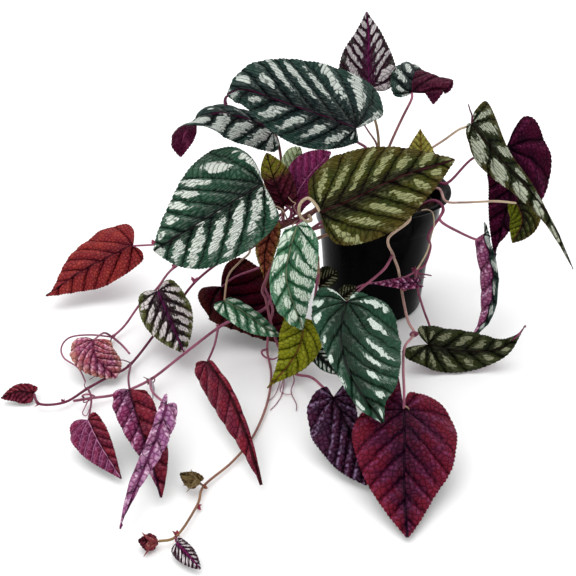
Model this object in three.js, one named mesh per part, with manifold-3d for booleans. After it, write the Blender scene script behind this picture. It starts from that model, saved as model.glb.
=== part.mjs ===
// A trailing foliage vine in a black nursery pot, in millimetres, +Z up.
// The origin is the centre of the pot's flat base, and -Y points at the viewer.
// Every leaf is one thin folded blade, and every vine is a set of joined round stems.
import * as THREE from "three";
import { mergeVertices } from "three/addons/utils/BufferGeometryUtils.js";
import Module from "manifold-3d";

const wasm = await Module();
wasm.setup();

const POT = {
  height: 117,
  lipRadius: 65,
  lipWidth: 5,
  lipThick: 3,
  bandTop: 56.8,
  bandBottom: 55.4,
  bandHeight: 26,
  bodyTop: 52.8,
  bodyBottom: 45.4,
  corner: 4,
  wall: 1.6,
  floor: 2.5,
  drainRadius: 4.5,
  drainRing: 28,
  drains: 4,
  segments: 32,
};
const SOIL = { top: 101, crown: 3, gap: 0.3, rings: 3, segments: 24 };
const GAP = 0.3;
const FINEST = 0.05;
const STEADY_ROWS = 1;
const BLADE = 0.9;
const BOW = 1.2;
const STEM_SIDES = 6;
const SPAN_STEPS = 2;

// Colour of each kind of leaf, and of the stems, pot and soil.
const COLOURS = {
  silver: 0x6f8f84,
  olive: 0x6d7442,
  young: 0x7b6470,
  burgundy: 0x5a2433,
  terracotta: 0x9a5550,
  mauve: 0x93607a,
  lime: 0x8f9440,
  stem: 0x93667a,
  pot: 0x1b1c1f,
  soil: 0x2a1d15,
};

// A leaf is drawn from its midrib, listed from the stalk to the tip.
// wide, fold, cup, lobe, belly and taper hold one value for each half of the blade, the
// half on the left of someone who walks the midrib to the tip on the upper face first.
// face is where the upper face looks, and turn is where it looks at a tip that curls over.
// lobe is how far a basal lobe reaches back and belly where the half is widest, both in
// midrib lengths. A taper of 0 keeps the far part full and 1 draws it out to a point.
// A vine is a list of stems, each a radius and the points that its centre runs through.
const LEAVES = {
  leaf_01: { rib: [[-26, -42, 187], [-56, -60, 204], [-87, -72, 219], [-114, -78, 230],
    [-127, -78, 226]], wide: [25.9, 49.6], face: [-0.1, -0.8, 0.6], fold: [-8, -8],
    cup: [0.1, 0.1], reach: [[-0.01, -0.04, 0.02, 0.14, 0.3, 0.47, 0.64, 0.78, 0.95, 0.98, 1],
    [-0.02, -0.16, -0.27, -0.22, 0.02, 0.12, 0.37, 0.64, 0.84, 0.92, 1]],
    full: [[0.04, 0.36, 0.54, 0.8, 1, 1.04, 0.88, 0.59, 0.36, 0.17, 0.01],
    [0.01, 0.22, 0.45, 0.89, 1, 0.99, 0.89, 0.73, 0.48, 0.23, 0.01]], kind: "silver" },
  leaf_02: { rib: [[-9, 32, 198], [-12, 25, 225], [-13, 20, 247], [-16, 15, 268]], wide: [26, 24],
    face: [0, -1, 0.1], fold: [-8, -8], cup: [0.1, 0.1], lobe: [0.12, 0.09], belly: [0.2, 0.19],
    taper: [0.68, 0.71], kind: "young" },
  leaf_03: { rib: [[26, 12, 200], [27, 18, 207], [32, 32, 212], [40, 44, 207], [49, 52, 190],
    [52, 52, 176]], wide: [19, 34], face: [0.1, -0.5, 0.85], turn: [0.1, 0.7, 0.6],
    fold: [-10, 15], cup: [0.1, 0.1], lobe: [0.08, 0.02], belly: [0.25, 0.42], taper: [0.5, 0.6],
    kind: "silver" },
  leaf_04: { rib: [[-94, -8, 172], [-113, -20, 185], [-135, -31, 195], [-153, -41, 194],
    [-164, -45, 184], [-170, -45, 163]], wide: [22, 12], face: [0, -0.6, 0.8],
    turn: [-0.6, 0.8, 0.1], fold: [-8, -12], cup: [0.1, 0.1], lobe: [0.08, 0], belly: [0.3, 0.4],
    taper: [-0.5, -0.5], kind: "silver" },
  leaf_05: { rib: [[-101, -78, 153], [-127, -98, 144], [-153, -114, 133], [-185, -124, 116]],
    wide: [37, 52], face: [-0.15, -0.8, 0.6], fold: [-8, -8], cup: [0.1, 0.1], lobe: [0, 0.09],
    belly: [0.45, 0.14], taper: [-0.31, 0.29], kind: "silver" },
  leaf_06: { rib: [[-55, -90, 133], [-29, -100, 150], [6, -100, 168], [48, -90, 178]],
    wide: [40, 35], face: [0, -0.8, 0.6], fold: [-8, -8], cup: [0.1, 0.1], lobe: [0.07, 0.03],
    belly: [0.23, 0.42], taper: [0.48, 0.47], kind: "olive" },
  leaf_07: { rib: [[31, -40, 154], [29, -42, 168], [27, -44, 187]], wide: [11, 11],
    face: [0, -1, 0.2], fold: [-8, -8], cup: [0.1, 0.1], lobe: [0.12, 0.12], belly: [0.3, 0.24],
    taper: [0.67, 0.8], kind: "lime" },
  leaf_08: { rib: [[79, 6, 174], [90, -6, 163], [104, -17, 149], [128, -30, 127], [149, -38, 100],
    [172, -44, 58]], wide: [12.5, 15.7], face: [-0.5, -0.75, 0.45], fold: [6, 0], cup: [0.1, 0.1],
    reach: [[-0.01, -0.01, -0.03, -0.04, -0.04, 0.06, 0.24, 0.47, 0.62, 0.86, 1],
    [-0.01, -0.01, 0.02, 0.08, 0.14, 0.23, 0.41, 0.64, 0.85, 0.94, 1]],
    full: [[0.06, 0.24, 0.52, 0.88, 1.69, 1.51, 0.81, 0.36, 0.09, 0.05, 0.01],
    [0.06, 0.21, 0.52, 0.8, 1.02, 1.09, 0.82, 0.46, 0.17, 0.06, 0.01]], kind: "olive" },
  leaf_09: { rib: [[120, 36, 140], [126, 26, 111], [120, 16, 75], [115, 10, 41]], wide: [42, 21],
    face: [0.1, -0.95, 0.3], fold: [-8, -8], cup: [0.1, 0.1], lobe: [0.25, 0.12],
    belly: [0.21, 0.25], taper: [1.29, 0.51], kind: "burgundy" },
  leaf_10: { rib: [[121, -20, 110], [126, -26, 95], [119, -30, 76]], wide: [18, 10],
    face: [-0.2, -0.9, 0.4], fold: [-8, -8], cup: [0.1, 0.1], lobe: [0.4, 0.09],
    belly: [0.12, 0.54], taper: [0.17, 0.48], kind: "lime" },
  leaf_11: { rib: [[89, -48, 94], [98, -60, 60], [95, -72, 26], [70, -104, 12]], wide: [5, 12],
    face: [-0.6, -0.75, 0.2], fold: [10, 10], cup: [0.1, 0.1], lobe: [0.11, 0],
    belly: [0.44, 0.32], taper: [0.49, 1.06], kind: "mauve" },
  leaf_12: { rib: [[37, -113, 22], [64, -112, 14], [98, -113, 18], [117, -111, 40]],
    wide: [21, 19], face: [0, -0.6, 0.8], fold: [-8, -8], cup: [0.1, 0.1], lobe: [0.13, 0.24],
    belly: [0.36, 0.12], taper: [1.4, 0.87], kind: "olive" },
  leaf_13: { rib: [[-74, -103, 128], [-79, -112, 113], [-82, -120, 88], [-69, -123, 44]],
    wide: [23.8, 12.8], face: [0, -0.95, 0.3], fold: [-8, -8], cup: [0.1, 0.1],
    reach: [[-0.01, -0.05, -0.01, 0.07, 0.23, 0.45, 0.62, 0.76, 0.89, 0.96, 1],
    [-0., 0.02, 0.04, 0.08, 0.33, 0.54, 0.75, 0.82, 0.92, 0.97, 1]],
    full: [[0.03, 0.19, 0.51, 0.83, 0.97, 1.01, 0.84, 0.52, 0.23, 0.08, 0.01],
    [0.09, 0.23, 0.48, 0.64, 0.82, 1.13, 1.11, 0.9, 0.62, 0.31, 0.01]], kind: "silver" },
  leaf_14: { rib: [[-35, -140, 79], [-41, -172, 69], [-35, -215, 60], [-15, -251, 47]],
    wide: [45.6, 21.9], face: [-0.1, -0.72, 0.7], fold: [-12, -12], cup: [0.1, 0.1],
    reach: [[-0.01, -0.1, -0.1, -0.06, 0.09, 0.2, 0.44, 0.69, 0.83, 0.9, 1],
    [-0.01, -0.03, -0.1, -0.15, -0.09, 0.12, 0.27, 0.58, 0.82, 0.93, 1]],
    full: [[0.01, 0.12, 0.47, 0.74, 0.98, 1.02, 0.92, 0.77, 0.54, 0.21, 0.01],
    [0.03, 0.15, 0.5, 0.95, 1.24, 1.12, 0.73, 0.38, 0.33, 0.15, 0.01]], kind: "silver" },
  leaf_15: { rib: [[2, -229, 42], [0, -254, 35], [-2, -281, 18], [-3, -315, 3]], wide: [38.6, 34],
    face: [0, -0.7, 0.75], fold: [-8, -8], cup: [0.1, 0.1],
    reach: [[-0.02, -0.16, -0.17, -0.1, 0.05, 0.22, 0.46, 0.66, 0.85, 0.94, 1],
    [-0.04, -0.35, -0.14, -0.04, 0.09, 0.28, 0.51, 0.7, 0.87, 0.95, 1]],
    full: [[0., 0.1, 0.47, 0.78, 0.97, 0.98, 0.86, 0.55, 0.27, 0.12, 0.01],
    [0.01, 0.14, 0.37, 0.74, 0.99, 1.03, 0.83, 0.55, 0.26, 0.1, 0.01]], kind: "burgundy" },
  leaf_16: { rib: [[-47, -204, 34], [-37, -229, 24], [-26, -266, 4]], wide: [12.8, 25.4],
    face: [0, -0.6, 0.8], fold: [-8, -8], cup: [0.1, 0.1],
    reach: [[-0.01, -0.04, -0.08, -0.12, -0.11, 0.06, 0.28, 0.57, 0.85, 0.95, 1],
    [-0.02, -0.15, -0.12, -0.03, 0.17, 0.34, 0.55, 0.74, 0.87, 0.94, 1]],
    full: [[0.05, 0.26, 0.56, 0.9, 1.37, 1.16, 0.76, 0.4, 0.14, 0.05, 0.01],
    [0., 0.07, 0.47, 0.78, 0.98, 1.03, 0.88, 0.65, 0.37, 0.17, 0.01]], kind: "mauve" },
  leaf_17: { rib: [[-230, 23, 46], [-251, 15, 38], [-279, 5, 26], [-307, -19, 14]], wide: [23, 37],
    face: [0, -0.5, 0.85], fold: [-8, -8], cup: [0.1, 0.1], lobe: [0.08, 0.1], belly: [0.43, 0.29],
    taper: [0.55, 1.05], kind: "terracotta" },
  leaf_18: { rib: [[-196, -57, 42], [-185, -81, 32], [-168, -119, 18]], wide: [21, 22],
    face: [0, -0.7, 0.7], fold: [-8, -8], cup: [0.1, 0.1], lobe: [0.13, 0.1], belly: [0.35, 0.31],
    taper: [0.32, 0.38], kind: "young" },
  leaf_19: { rib: [[-245, -109, 24], [-239, -130, 20], [-223, -139, 6]], wide: [16, 20],
    face: [0, -0.5, 0.9], fold: [-8, -8], cup: [0.1, 0.1], lobe: [0, 0.18], belly: [0.62, 0.17],
    taper: [-0.5, 0.48], kind: "mauve" },
  leaf_20: { rib: [[-285, -161, 7], [-298, -162, 9], [-310, -166, 6]], wide: [9, 8],
    face: [0, -0.5, 0.9], fold: [-8, -8], cup: [0.1, 0.1], lobe: [0.03, 0.11], belly: [0.35, 0.37],
    taper: [0.33, 0.58], kind: "burgundy" },
  leaf_21: { rib: [[-229, -215, 22], [-218, -234, 16], [-199, -259, 4]], wide: [9, 17],
    face: [0, -0.6, 0.8], fold: [-8, -8], cup: [0.1, 0.1], lobe: [0.09, 0.11], belly: [0.27, 0.16],
    taper: [0.64, 0.63], kind: "mauve" },
  leaf_22: { rib: [[-201, -192, 32], [-189, -226, 26], [-177, -255, 16], [-168, -280, 5]],
    wide: [15, 15], face: [0, -0.6, 0.8], fold: [-8, -8], cup: [0.1, 0.1], lobe: [0, 0.07],
    belly: [0.49, 0.12], taper: [0.49, 0.93], kind: "mauve" },
  leaf_23: { rib: [[-168, -228, 46], [-173, -258, 38], [-182, -283, 24], [-192, -310, 6]],
    wide: [10, 5], face: [0.3, -0.7, 0.6], fold: [-8, -8], cup: [0.1, 0.1], lobe: [0.05, 0.12],
    belly: [0.12, 0.62], taper: [1.34, 0.5], kind: "mauve" },
  leaf_24: { rib: [[-145, -153, 32], [-127, -188, 29], [-111, -228, 18], [-99, -267, 5]],
    wide: [3.5, 19], face: [-0.3, -0.7, 0.6], fold: [-30, -14], cup: [0.1, 0.12],
    lobe: [0.02, 0.1], belly: [0.3, 0.2], taper: [0.4, 0.75], kind: "burgundy" },
  leaf_25: { rib: [[-143, -267, 8], [-149, -264, 9], [-157, -258, 8]], wide: [6, 5],
    face: [0, -0.5, 0.85], fold: [-8, -8], cup: [0.1, 0.1], lobe: [0, 0.12], belly: [0.33, 0.37],
    taper: [0.35, 0.52], kind: "lime" },
  leaf_26: { rib: [[-167, -320, 5], [-171, -322, 8], [-178, -321, 7]], wide: [6, 5],
    face: [0, -0.5, 0.85], fold: [-8, -8], cup: [0.1, 0.1], lobe: [0.09, 0.11], belly: [0.5, 0.4],
    taper: [0.37, 0.22], kind: "burgundy" },
  leaf_27: { rib: [[-153, -323, 7], [-146, -332, 8], [-136, -343, 5]], wide: [5, 7],
    face: [0, -0.5, 0.85], fold: [-8, -8], cup: [0.1, 0.1], lobe: [0.11, 0.03],
    belly: [0.43, 0.38], taper: [0.31, 0.28], kind: "burgundy" },
  leaf_28: { rib: [[-68, -103, 42], [-70, -124, 34], [-79, -136, 20], [-98, -150, 4]],
    wide: [17, 18], face: [0, -0.9, 0.4], fold: [-8, -8], cup: [0.1, 0.1], lobe: [0, 0.12],
    belly: [0.32, 0.31], taper: [1, 0.98], kind: "lime" },
  leaf_29: { rib: [[-142, -29, 30], [-127, -36, 17], [-106, -56, 9], [-84, -90, 7]],
    wide: [38, 40], face: [-0.15, -0.5, 0.85], fold: [24, 30], cup: [-0.2, -0.2],
    lobe: [0.14, 0.14], belly: [0.3, 0.3], taper: [0.4, 0.4], kind: "burgundy" },
  leaf_30: { rib: [[-134, -102, 58], [-119, -109, 52], [-103, -109, 38], [-87, -107, 26]],
    wide: [8, 12], face: [0, -0.5, 0.85], fold: [-8, -8], cup: [0.1, 0.1], lobe: [0.02, 0.11],
    belly: [0.62, 0.37], taper: [0.53, 0.57], kind: "silver" },
  leaf_31: { rib: [[-78, -54, 123], [-67, -54, 146], [-46, -56, 172]], wide: [17, 12],
    face: [0, -1, 0.2], fold: [-8, -8], cup: [0.1, 0.1], lobe: [0.09, 0.12], belly: [0.54, 0.31],
    taper: [0.08, 0.52], kind: "mauve" },
  leaf_32: { rib: [[-84, -65, 129], [-92, -68, 152], [-98, -74, 178]], wide: [9, 14],
    face: [0, -1, 0.2], fold: [-8, -8], cup: [0.1, 0.1], lobe: [0.11, 0.09], belly: [0.59, 0.46],
    taper: [0.37, 0.36], kind: "burgundy" },
  leaf_33: { rib: [[-81, -37, 139], [-77, -39, 154], [-71, -42, 171]], wide: [10, 7],
    face: [0, -1, 0.3], fold: [-8, -8], cup: [0.1, 0.1], lobe: [0.12, 0.12], belly: [0.37, 0.34],
    taper: [-0.5, 0.05], kind: "lime" },
  leaf_34: { rib: [[-95, -84, 116], [-100, -90, 95], [-100, -92, 65]], wide: [9, 10],
    face: [0, -0.95, 0.2], fold: [-8, -8], cup: [0.1, 0.1], lobe: [0.13, 0.22], belly: [0.2, 0.12],
    taper: [0.71, 1.33], kind: "terracotta" },
  leaf_35: { rib: [[-55, -74, 57], [-47, -76, 65], [-39, -78, 73]], wide: [11, 7],
    face: [0, -0.8, 0.6], fold: [-8, -8], cup: [0.1, 0.1], lobe: [0.11, 0.1], belly: [0.49, 0.46],
    taper: [0.06, 0.25], kind: "olive" },
  leaf_36: { rib: [[-37, -74, 41], [-30, -77, 50], [-23, -80, 59]], wide: [8, 5],
    face: [0, -0.8, 0.6], fold: [-8, -8], cup: [0.1, 0.1], lobe: [0.11, 0.12], belly: [0.49, 0.4],
    taper: [0.03, 0.45], kind: "olive" },
  leaf_37: { rib: [[-59, -118, 18], [-50, -128, 15], [-40, -139, 10]], wide: [8, 7],
    face: [0, -0.8, 0.5], fold: [-8, -8], cup: [0.1, 0.1], lobe: [0, 0.1], belly: [0.39, 0.42],
    taper: [0.43, 0.25], kind: "silver" },
  leaf_38: { rib: [[30, -70, 57], [15, -76, 60], [-10, -84, 64]], wide: [7, 5],
    face: [0, -0.6, 0.8], fold: [25, 25], cup: [0, 0], lobe: [0.12, 0.12], belly: [0.33, 0.34],
    taper: [0.58, 0.57], kind: "mauve" },
};

const VINES = {
  stem_crown: [
    [3, [[2, 6, 92], [0, 2, 108], [-4, -2, 124], [-8, -4, 136]]],
    [1.35, [[-6, -3, 130], [-12, -8, 155], [-23, -26, 170], [-26, -42, 187]]],
    [1.4, [[-4, -1, 124], [-1, 4, 150], [-2, 18, 166], [-7, 27, 181], [-9, 32, 198]]],
    [1.4, [[-1, 2, 116], [7, 4, 149], [12, 6, 163], [19, 6, 181], [25, 5, 196], [26, 12, 200]]],
    [1.2, [[-4, -2, 124], [12, -24, 134], [31, -40, 154]]],
    [1.3, [[1, 4, 106], [30, 2, 122], [40, 10, 143], [59, 12, 158], [69, 10, 167], [75, 9, 170],
      [79, 6, 174]]],
    [1.4, [[1, 4, 103], [26, 2, 112], [48, 6, 122], [61, -3, 122], [88, 30, 132], [112, 44, 134],
      [120, 36, 140]]],
    [1.25, [[1, 4, 104], [20, -6, 109], [50, -12, 121], [54, -40, 121], [74, -14, 108],
      [102, -18, 111], [121, -20, 110]]],
  ],
  stem_left: [
    [2.6, [[-23, -19, 94], [-36, -29, 112], [-47, -38, 122.5], [-58, -50, 117], [-71, -66, 116],
      [-81, -70, 115], [-93, -76, 113]]],
    [1.3, [[-71, -66, 116], [-73, -60, 120], [-78, -54, 123]]],
    [1.3, [[-81, -70, 115], [-78, -70, 125], [-84, -65, 129]]],
    [1.3, [[-78, -70, 125], [-83, -52, 129], [-81, -37, 139]]],
    [1.4, [[-91, -75, 113], [-94, -80, 115], [-95, -84, 116]]],
    [1.4, [[-71, -66, 116], [-70, -86, 124], [-74, -103, 128]]],
    [1.4, [[-88, -74, 114], [-93, -70, 128], [-99, -68, 142], [-101, -78, 153]]],
    [1.5, [[-85, -72, 115], [-86, -36, 130], [-87, -16, 149], [-90, -8, 164], [-94, -8, 172]]],
    [1.5, [[-64, -58, 116.5], [-62, -74, 119], [-68, -81, 122], [-72, -85, 131], [-71, -87, 140],
      [-65, -88, 145], [-59, -89, 140], [-55, -90, 133]]],
  ],
  vine_a: [
    [1.3, [[-29, -7, 94], [-45, -11, 112], [-59, -15, 122.5], [-69, -17, 116], [-112, -44, 88],
      [-146, -40, 76], [-185, -20, 46], [-201, -32, 30], [-216, -39, 18], [-228, -58, 7],
      [-237, -73, 4]]],
    [0.9, [[-185, -20, 46], [-191, -37, 46], [-196, -57, 42]]],
    [0.8, [[-237, -73, 4], [-254, -82, 12], [-270, -89, 14], [-277, -95, 8], [-273, -106, 4],
      [-257, -123, 5], [-247, -143, 5]]],
    [1, [[-237, -73, 4], [-242, -82, 14], [-245, -109, 24]]],
    [1.1, [[-237, -73, 4], [-224, -98, 12], [-213, -121, 18]]],
  ],
  vine_b: [
    [1.3, [[-27, -14, 94], [-41, -21, 112], [-54, -27, 122.5], [-63, -32, 116], [-110, -60, 88],
      [-135, -34, 64], [-164, -44, 44], [-184, -60, 22], [-196, -74, 12], [-214, -117, 5],
      [-229, -133, 4], [-244, -150, 4], [-258, -170, 5], [-277, -174, 6], [-285, -161, 7]]],
    [1, [[-214, -117, 5], [-207, -164, 24], [-201, -192, 32]]],
    [0.9, [[-244, -150, 4], [-234, -181, 16], [-229, -215, 22]]],
  ],
  vine_c: [
    [1.35, [[-18, -24, 94], [-28, -36, 112], [-37, -48, 122.5], [-44, -56, 116], [-86, -84, 92],
      [-98, -88, 46], [-122, -98, 40], [-140, -102, 32], [-171, -124, 17], [-194, -144, 8],
      [-218, -159, 5], [-237, -166, 6], [-251, -174, 9]]],
    [1.1, [[-140, -102, 32], [-141, -132, 34], [-145, -153, 32]]],
    [1.1, [[-86, -84, 92], [-103, -63, 70], [-128, -42, 48], [-142, -29, 30]]],
    [1.1, [[-194, -144, 8], [-183, -196, 34], [-168, -228, 46]]],
  ],
  vine_d: [
    [1.35, [[-13, -27, 94], [-19, -42, 112], [-26, -55, 122.5], [-30, -64, 116], [-79, -92, 110],
      [-101, -100, 72], [-99, -110, 64], [-95, -101, 34], [-88, -107, 13], [-77, -133, 8],
      [-63, -157, 20], [-55, -183, 30], [-47, -204, 34]]],
    [1.1, [[-101, -100, 72], [-94, -100, 50], [-97, -85, 24], [-99, -95, 5], [-95, -130, 3],
      [-98, -171, 3], [-108, -212, 3], [-122, -240, 3], [-140, -266, 4], [-143, -285, 4],
      [-154, -314, 4], [-166, -320, 5]]],
    [0.8, [[-140, -266, 4], [-141.5, -267, 6], [-143, -267, 8]]],
    [0.8, [[-154, -314, 4], [-154, -319, 6], [-153, -323, 7]]],
  ],
  vine_e: [
    [1.3, [[8, -29, 94], [13, -44, 112], [17, -58, 122.5], [20, -68, 116], [3, -71, 101],
      [8, -68, 84], [14, -66, 68], [18, -66, 48], [18, -112, 46], [21, -131, 45], [11, -153, 46],
      [6, -186, 49], [3, -218, 50], [2, -229, 42]]],
    [1.2, [[8, -68, 84], [-1, -84, 78], [-23, -116, 77], [-35, -140, 79]]],
  ],
  vine_f: [
    [1.25, [[22, -21, 94], [33, -32, 112], [44, -42, 122.5], [51, -49, 116], [39, -56, 97],
      [42, -54, 84], [38, -54, 66], [31, -54, 60], [34, -56, 42], [41, -53, 20], [43, -80, 18],
      [37, -113, 22]]],
    [1.3, [[51, -49, 116], [49, -52, 108], [67, -50, 96], [84, -48, 88], [89, -48, 94]]],
    [1, [[31, -54, 60], [30, -70, 57]]],
    [0.9, [[31, -54, 60], [20, -59, 57], [-1, -64, 55], [-19, -71, 55], [-37, -74, 41]]],
  ],
  vine_g: [
    [1.6, [[-6, -29, 94], [-9, -45, 112], [-12, -59, 122.5], [-14, -70, 116], [-58, -74, 101],
      [-56, -72, 83], [-55, -72, 69], [-55, -74, 57]]],
    [1.3, [[-56, -72, 83], [-64, -92, 57], [-68, -103, 42]]],
    [1.2, [[-55, -72, 69], [-59, -90, 42], [-59, -118, 18]]],
  ],
  vine_h: [
    [1.2, [[-30, -1, 94], [-46, -2, 112], [-60, -2, 122.5], [-71, -2, 116], [-123, -34, 89],
      [-162, -40, 84], [-199, -5, 62], [-230, 23, 46]]],
    [1, [[-123, -34, 89], [-114, -50, 79], [-122, -70, 78], [-131, -88, 74], [-134, -102, 58]]],
  ],
};

// The rows of a blade: how far each has run round the margin, and the margin it reaches.
const ROW = [0, 0.07, 0.15, 0.24, 0.34, 0.46, 0.59, 0.72, 0.84, 0.93, 1];
const LOBE_SHARE = [0.1, 0.62, 1, 0.78, 0.12, 0, 0, 0, 0, 0, 0];
const BELLY_SHARE = [0, 0.02, 0.06, 0.14, 0.5, 1, 1, 1, 1, 1, 1];
const BEYOND_SHARE = [0, 0, 0, 0, 0, 0, 0.3, 0.57, 0.8, 0.92, 1];
const HALF_FULL = [0.02, 0.24, 0.52, 0.8, 0.96, 1, 0.91, 0.73, 0.46, 0.22, 0.012];
const HALF_DRAWN = [0.02, 0.24, 0.52, 0.8, 0.96, 1, 0.8, 0.45, 0.15, 0.04, 0.012];

const clamp01 = (x) => Math.min(1, Math.max(0, x));
const mix = (a, b, t) => a + (b - a) * t;
const vec = (p) => new THREE.Vector3(p[0], p[1], p[2]);

// A smooth curve through evenly counted values, read at 0 to 1.
function through(values, t) {
  const last = values.length - 1;
  const at = clamp01(t) * last;
  const i = Math.min(Math.floor(at), last - 1);
  const f = at - i;
  const b = values[i];
  const c = values[i + 1];
  const a = i > 0 ? values[i - 1] : 2 * b - c;
  const d = i < last - 1 ? values[i + 2] : 2 * c - b;
  const square = (2 * a - 5 * b + 4 * c - d) * f * f;
  const cube = (3 * b - a - 3 * c + d) * f * f * f;
  return 0.5 * (2 * b + (c - a) * f + square + cube);
}

// Where a row's share of the margin lies, counted in rows.
function rowPlace(s) {
  let i = 0;
  while (i < ROW.length - 2 && s > ROW[i + 1]) i += 1;
  return (i + (s - ROW[i]) / (ROW[i + 1] - ROW[i])) / (ROW.length - 1);
}

// One closed geometry as a solid, and a solid as a geometry.
function solidOf(geometry) {
  const bare = new THREE.BufferGeometry();
  const flat = geometry.index ? geometry.toNonIndexed() : geometry;
  bare.setAttribute("position", flat.getAttribute("position"));
  const merged = mergeVertices(bare, 1e-4);
  const mesh = new wasm.Mesh({
    numProp: 3,
    vertProperties: merged.attributes.position.array,
    triVerts: new Uint32Array(merged.index.array),
  });
  return new wasm.Manifold(mesh);
}

function geometryOf(solid) {
  const mesh = solid.getMesh();
  const stride = mesh.numProp;
  const points = new Float32Array(mesh.numVert * 3);
  for (let i = 0; i < mesh.numVert; i += 1) {
    points.set(mesh.vertProperties.subarray(i * stride, i * stride + 3), i * 3);
  }
  const geometry = new THREE.BufferGeometry();
  geometry.setAttribute("position", new THREE.BufferAttribute(points, 3));
  geometry.setIndex(new THREE.BufferAttribute(mesh.triVerts, 1));
  geometry.computeVertexNormals();
  return geometry;
}

const joinAll = (solids) => solids.reduce((a, b) => a.add(b));

// A cut can leave slivers beside the piece that is kept, and edges finer than FINEST on it.
const largest = (solid) => solid.decompose().sort((a, b) => b.volume() - a.volume())[0];
const cleaned = (solid) => largest(solid.simplify(FINEST));

// A midrib: its points and directions at any share of its length.
function midrib(points) {
  const count = 80;
  const at = [];
  for (let i = 0; i < count; i += 1) {
    const t = i / (count - 1);
    at.push(vec([0, 1, 2].map((k) => through(points.map((p) => p[k]), t))));
  }
  const run = [0];
  for (let i = 1; i < count; i += 1) run.push(run[i - 1] + at[i].distanceTo(at[i - 1]));
  const length = run[count - 1];
  const way = at.map((p, i) => {
    const before = at[Math.max(i - 1, 0)];
    const after = at[Math.min(i + 1, count - 1)];
    return after.clone().sub(before).normalize();
  });
  return (share) => {
    const d = clamp01(share) * length;
    let i = 0;
    while (i < count - 2 && d > run[i + 1]) i += 1;
    const f = (d - run[i]) / (run[i + 1] - run[i]);
    const point = at[i].clone().lerp(at[i + 1], f);
    const along = way[i].clone().lerp(way[i + 1], f).normalize();
    if (share < 0) point.addScaledVector(way[0], share * length);
    return { point, along };
  };
}

// How far along and how far out the margin of one half runs, in midribs and half widths.
// A leaf of the usual shape gives only its lobe, belly and taper.
function marginOf(leaf, half) {
  if (leaf.reach) {
    return { reach: leaf.reach[half], full: leaf.full[half] };
  }
  const belly = leaf.belly[half];
  const reach = ROW.map(
    (_, i) =>
      BEYOND_SHARE[i] * (1 - belly) + BELLY_SHARE[i] * belly - LOBE_SHARE[i] * leaf.lobe[half],
  );
  const full = ROW.map((_, i) => mix(HALF_FULL[i], HALF_DRAWN[i], leaf.taper[half]));
  return { reach, full };
}

// A point of the blade and the way its upper face looks there.
// u runs from -1 to 1 across the midrib, and s from the stalk round to the tip.
function bladeAt(leaf, rib, u, s) {
  const half = u < 0 ? 1 : 0;
  const across = Math.abs(u);
  const place = rowPlace(s);
  const { reach, full } = marginOf(leaf, half);
  const start = 0.02 * Math.min(s, 0.3) / 0.3 + 0.98 * clamp01((s - 0.3) / 0.7) ** 1.3;
  const share = start + (through(reach, place) - start) * across ** BOW;
  const { point, along } = rib(share);
  const k = clamp01((share - 0.45) / 0.5);
  const look = vec(leaf.face).normalize();
  if (leaf.turn) look.lerp(vec(leaf.turn).normalize(), k * k * (3 - 2 * k));
  const normal = look.addScaledVector(along, -look.dot(along)).normalize();
  const side = normal.clone().cross(along);
  const out = through(full, place) * across * leaf.wide[half];
  const fold = THREE.MathUtils.degToRad(leaf.fold[half]);
  const rise = out * Math.sin(fold) - (leaf.cup[half] * out * out) / leaf.wide[half];
  point.addScaledVector(side, Math.sign(u) * out * Math.cos(fold));
  return point.addScaledVector(normal, rise);
}

// The blade as a closed sheet of one thickness: upper face, lower face and margin.
function bladeGeometry(leaf, rows, columns, thick) {
  const rib = midrib(leaf.rib);
  const grid = [];
  for (let i = 0; i <= rows; i += 1) {
    const s = (i / rows) ** 1.25;
    grid.push([]);
    for (let j = 0; j <= columns; j += 1) {
      grid[i].push(bladeAt(leaf, rib, (2 * j) / columns - 1, s));
    }
  }
  const points = [];
  const upper = [];
  const lower = [];
  for (let i = 0; i <= rows; i += 1) {
    upper.push([]);
    lower.push([]);
    for (let j = 0; j <= columns; j += 1) {
      const row = THREE.MathUtils.clamp(i, STEADY_ROWS, rows - 1);
      const along = grid[row + 1][j].clone().sub(grid[row - 1][j]);
      const across = grid[row][Math.min(j + 1, columns)].clone();
      across.sub(grid[row][Math.max(j - 1, 0)]);
      const normal = along.cross(across).normalize();
      upper[i].push(points.push(grid[i][j].clone().addScaledVector(normal, thick / 2)) - 1);
      lower[i].push(points.push(grid[i][j].clone().addScaledVector(normal, -thick / 2)) - 1);
    }
  }
  const faces = [];
  const quad = (a, b, c, d) => faces.push(a, b, c, a, c, d);
  for (let i = 0; i < rows; i += 1) {
    for (let j = 0; j < columns; j += 1) {
      quad(upper[i][j], upper[i + 1][j], upper[i + 1][j + 1], upper[i][j + 1]);
      quad(lower[i][j], lower[i][j + 1], lower[i + 1][j + 1], lower[i + 1][j]);
    }
    quad(upper[i][0], lower[i][0], lower[i + 1][0], upper[i + 1][0]);
    quad(upper[i][columns], upper[i + 1][columns], lower[i + 1][columns], lower[i][columns]);
  }
  for (let j = 0; j < columns; j += 1) {
    quad(upper[0][j], upper[0][j + 1], lower[0][j + 1], lower[0][j]);
    quad(upper[rows][j], lower[rows][j], lower[rows][j + 1], upper[rows][j + 1]);
  }
  const numbers = points.flatMap((p) => p.toArray());
  const geometry = new THREE.BufferGeometry();
  geometry.setAttribute("position", new THREE.Float32BufferAttribute(numbers, 3));
  geometry.setIndex(faces);
  return geometry;
}

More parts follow.
